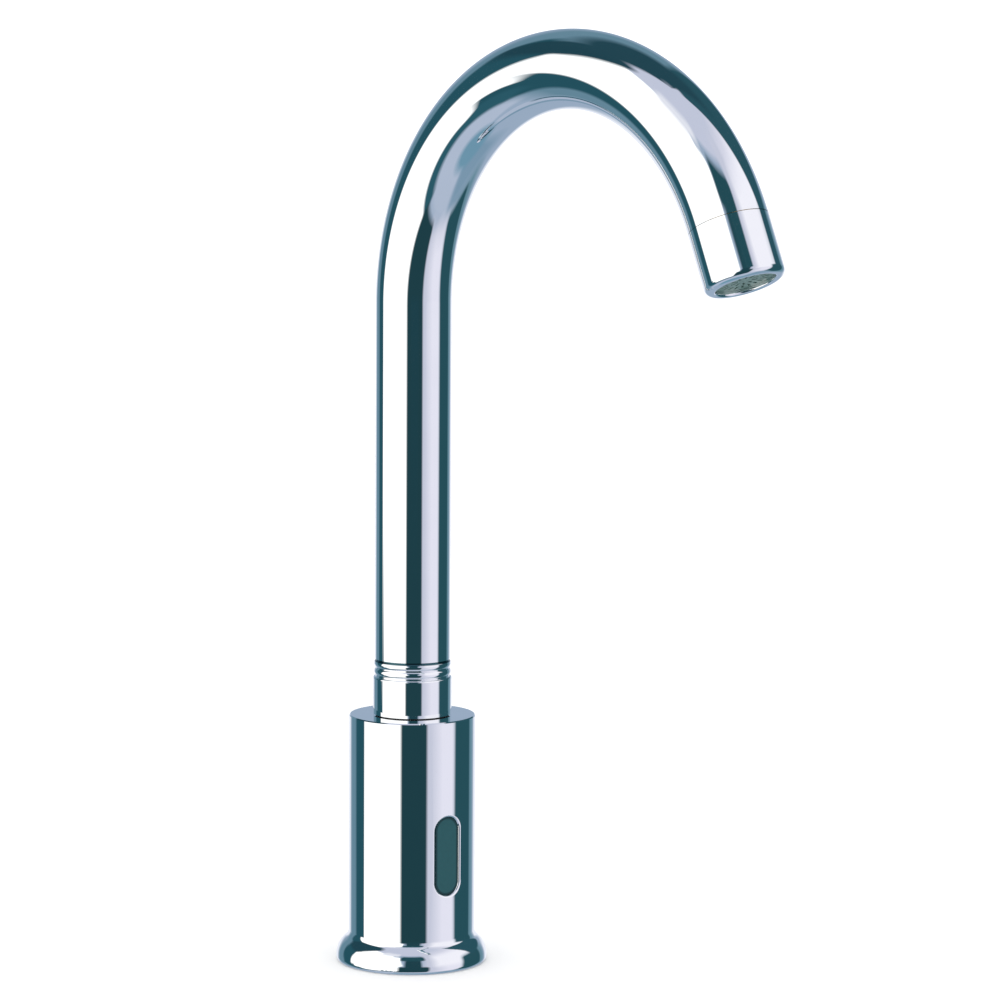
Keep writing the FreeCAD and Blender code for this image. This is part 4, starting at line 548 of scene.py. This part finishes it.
def placeCamera():
    # the fit looks along +Y at a tap turned by "turn", so the camera goes round the tap instead
    fit = cameraFit
    yaw, pitch, roll = radians(fit["yaw"]), radians(fit["pitch"]), radians(fit["roll"])
    ahead = Vector((sin(yaw), cos(yaw), 0))
    right = Vector((cos(yaw), -sin(yaw), 0))
    up = Vector((0, 0, 1))
    lookUp = up * cos(pitch) + ahead * sin(pitch)
    look = ahead * cos(pitch) - up * sin(pitch)
    side = right * cos(roll) + lookUp * sin(roll)
    head = lookUp * cos(roll) - right * sin(roll)
    turn = Matrix.Rotation(-radians(fit["turn"]), 4, "Z")
    fitted = Matrix((side, head, -look)).transposed().to_4x4()
    fitted.translation = Vector((fit["across"], -fit["distance"], fit["height"]))
    data = bpy.data.cameras.new("photoCamera")
    data.sensor_fit = "HORIZONTAL"
    data.sensor_width = fit["sensorWidth"]
    data.lens = fit["focalPixels"] * data.sensor_width / fit["photoPixels"]
    data.clip_end = fit["sight"]
    camera = bpy.data.objects.new("photoCamera", data)
    bpy.context.scene.collection.objects.link(camera)
    camera.matrix_world = turn @ fitted
    bpy.context.scene.camera = camera


placeCamera()

floorLook = {
    "size": 12.0, "colour": (0.93, 0.932, 0.936), "shade": 0.995, "patches": 30.0, "roughness": 0.9,
}


def makeFloor():
    half = floorLook["size"] / 2
    mesh = bpy.data.meshes.new("paleFloor")
    corners = [(-half, -half, 0), (half, -half, 0), (half, half, 0), (-half, half, 0)]
    mesh.from_pydata(corners, [], [(0, 1, 2, 3)])
    floor = bpy.data.objects.new("paleFloor", mesh)
    bpy.context.scene.collection.objects.link(floor)
    material, tree, shader = freshMaterial("paleFloor")
    grain = useGroup(tree, fineGrain, {"Scale": floorLook["patches"], "Bump": 0.0})
    darker = [value * floorLook["shade"] for value in floorLook["colour"]]
    link(tree, blendColours(tree, grain.outputs["Mottle"], darker, floorLook["colour"]),
         shader.inputs["Base Color"])
    shader.inputs["Roughness"].default_value = floorLook["roughness"]
    mesh.materials.append(material)
    floor.visible_glossy = False  # the chrome mirrors the studio's walls down to its foot


makeFloor()

# What the chrome mirrors, painted panel over panel: west and east (azimuth from the camera's side, in
# degrees, growing to the right), foot and head (elevation), softness, lean, colour on screen. The key is
# the big white light on the left, the fill the pale one on the right, the gap the dark between them.
panels = {
    "ceiling": (-400, 400, 56, 140, 5, 0.0, (193, 198, 217)),
    "floorLight": (-120, 70, -140, -47, 8, 0.0, (174, 186, 206)),
    "floorFar": (70, 160, -140, -45, 24, 0.0, (122, 150, 172)),
    "floorDeep": (-400, 400, -140, -74, 8, 0.0, (108, 148, 170)),
    "rearGlow": (152, 212, -20, 4, 10, 0.0, (232, 236, 246)),
    "rearTeal": (125, 238, 22, 64, 20, 0.0, (100, 134, 152)),
    "leftTeal": (-150, -92, -46, 48, 16, 0.3, (100, 134, 152)),
    "leftDark": (-127, -90, -46, 45, 7, 0.4, (36, 80, 93)),
    "keyShade": (-104, -14, -49, -30, 6, 0.0, (42, 88, 102)),
    "key": (-95, -17, -37, 56, 3, 0.35, (255, 255, 255)),
    "keyWing": (-104, -80, -8, 34, 3, 0.0, (255, 255, 255)),
    "keyFoot": (-96.5, -80, -21, -5, 2.5, 0.0, (255, 255, 255)),
    "keyShoulder": (-44, -10, 6, 47, 4, 0.2, (255, 255, 255)),
    "keyTop": (-64, -24, 50, 62, 8, 0.0, (226, 228, 238)),
    "leftHigh": (204, 244, 26, 64, 6, -0.5, (32, 66, 78)),
    "fill": (20, 106, -44, 66, 12, -0.08, (198, 201, 218)),
    "fillGlow": (48, 100, -40, 58, 24, -0.1, (228, 227, 241)),
    "fillCrown": (38, 116, 2, 50, 16, -0.05, (242, 241, 250)),
    "gapFoot": (-19, 29, -44, 4, 5, 0.0, (30, 62, 70)),
    "gapMiddle": (-9, 18, -6, 36, 5, 0.0, (30, 64, 74)),
    "gapHead": (-18, 26, 32, 51, 5, 0.0, (34, 74, 84)),
    "rightTeal": (88, 146, -46, 22, 14, -0.1, (100, 136, 152)),
    "rightDark": (88, 132, -44, 20, 5, -0.1, (38, 78, 88)),
    "rightHigh": (115, 166, 14, 80, 4, 0.18, (40, 80, 92)),
    "rearHigh": (126, 261, 50, 90, 12, 0.0, (34, 68, 80)),
}
studio = {
    "room": (152, 170, 192),
    "light": 1.3,
    "gain": 1.04,
    "keyGain": 1.25,
    "keyPanels": ("key", "keyWing", "keyFoot", "keyShoulder"),
    "corner": 6.0,
    "sharpCorner": 2.0,
    "sharpPanels": ("keyWing", "keyFoot"),
}


def makePanelGroup():
    # one soft-edged panel with round corners, laid over what is under it
    group = bpy.data.node_groups.new("studioPanel", "ShaderNodeTree")
    for name in ("Azimuth", "Elevation", "Middle Azimuth", "Middle Elevation", "Half Width",
                 "Half Height", "Corner", "Softness", "Lean"):
        addSocket(group, name, "INPUT", "Float")
    addSocket(group, "Colour", "INPUT", "Color")
    addSocket(group, "Under", "INPUT", "Color")
    addSocket(group, "Result", "OUTPUT", "Color")
    start = addNode(group, "NodeGroupInput").outputs
    end = addNode(group, "NodeGroupOutput")

    def outside(value, half):
        # how far value is past the point where the corner starts, squared
        past = calc(group, "SUBTRACT", calc(group, "ABSOLUTE", value), half)
        beyond = calc(group, "ADD", past, start["Corner"])
        return calc(group, "POWER", calc(group, "MAXIMUM", beyond, 0.0), 2.0)

    height = calc(group, "SUBTRACT", start["Elevation"], start["Middle Elevation"])
    leant = calc(group, "MULTIPLY", start["Elevation"], start["Lean"])
    across = calc(group, "SUBTRACT", start["Azimuth"], start["Middle Azimuth"])
    width = calc(group, "ADD", calc(group, "WRAP", across, 180.0, -180.0), leant)
    reach = calc(group, "SQRT", calc(group, "ADD", outside(width, start["Half Width"]),
                                     outside(height, start["Half Height"])))
    edge = calc(group, "SUBTRACT", start["Corner"], reach)
    cover = calc(group, "ADD", calc(group, "DIVIDE", edge, start["Softness"]), 0.5)
    shade = addNode(group, "ShaderNodeMix", data_type="RGBA", clamp_factor=True)
    link(group, cover, shade.inputs["Factor"])
    link(group, start["Under"], shade.inputs["A"])
    link(group, start["Colour"], shade.inputs["B"])
    link(group, shade.outputs["Result"], end.inputs["Result"])
    return group


def makeWorld():
    world = bpy.data.worlds.new("studio")
    world.use_nodes = True
    bpy.context.scene.world = world
    tree = world.node_tree
    background = tree.nodes["Background"]
    place = addNode(tree, "ShaderNodeTexCoord")
    # the direction, turned so that -Y points to the camera's side
    turn = addNode(tree, "ShaderNodeVectorRotate", rotation_type="Z_AXIS")
    turn.inputs["Angle"].default_value = radians(cameraFit["turn"])
    link(tree, place.outputs["Generated"], turn.inputs["Vector"])
    at = splitVector(tree, turn.outputs["Vector"])
    forward = calc(tree, "MULTIPLY", at["Y"], -1.0)
    azimuth = calc(tree, "DEGREES", calc(tree, "ARCTAN2", at["X"], forward))
    elevation = calc(tree, "DEGREES", calc(tree, "ARCSINE", at["Z"]))
    group = makePanelGroup()
    under = addNode(tree, "ShaderNodeRGB")
    under.outputs[0].default_value = (*fromScreen(*studio["room"], studio["gain"]), 1)
    colour = under.outputs[0]
    for name, (west, east, foot, head, softness, lean, shade) in panels.items():
        gain = studio["keyGain" if name in studio["keyPanels"] else "gain"]
        corner = studio["sharpCorner" if name in studio["sharpPanels"] else "corner"]
        panel = useGroup(tree, group, {
            "Middle Azimuth": (west + east) / 2, "Half Width": (east - west) / 2,
            "Middle Elevation": (foot + head) / 2, "Half Height": (head - foot) / 2,
            "Corner": max(corner, softness / 2), "Softness": softness, "Lean": lean,
            "Colour": (*fromScreen(*shade, gain), 1)})
        panel.label = name
        link(tree, azimuth, panel.inputs["Azimuth"])
        link(tree, elevation, panel.inputs["Elevation"])
        link(tree, colour, panel.inputs["Under"])
        colour = panel.outputs["Result"]
    link(tree, colour, background.inputs["Color"])
    # what the camera sees straight on, and what lights the floor, is plain white
    plain = addNode(tree, "ShaderNodeBackground", {
        "Color": (1, 1, 1, 1), "Strength": studio["light"]})
    ray = addNode(tree, "ShaderNodeLightPath")
    mix = addNode(tree, "ShaderNodeMixShader")
    link(tree, ray.outputs["Is Glossy Ray"], mix.inputs["Fac"])
    link(tree, plain.outputs["Background"], mix.inputs[1])
    link(tree, background.outputs["Background"], mix.inputs[2])
    link(tree, mix.outputs["Shader"], tree.nodes["World Output"].inputs["Surface"])


makeWorld()
bpy.context.scene.view_settings.view_transform = "Standard"
print("studio done:", len(panels), "panels")
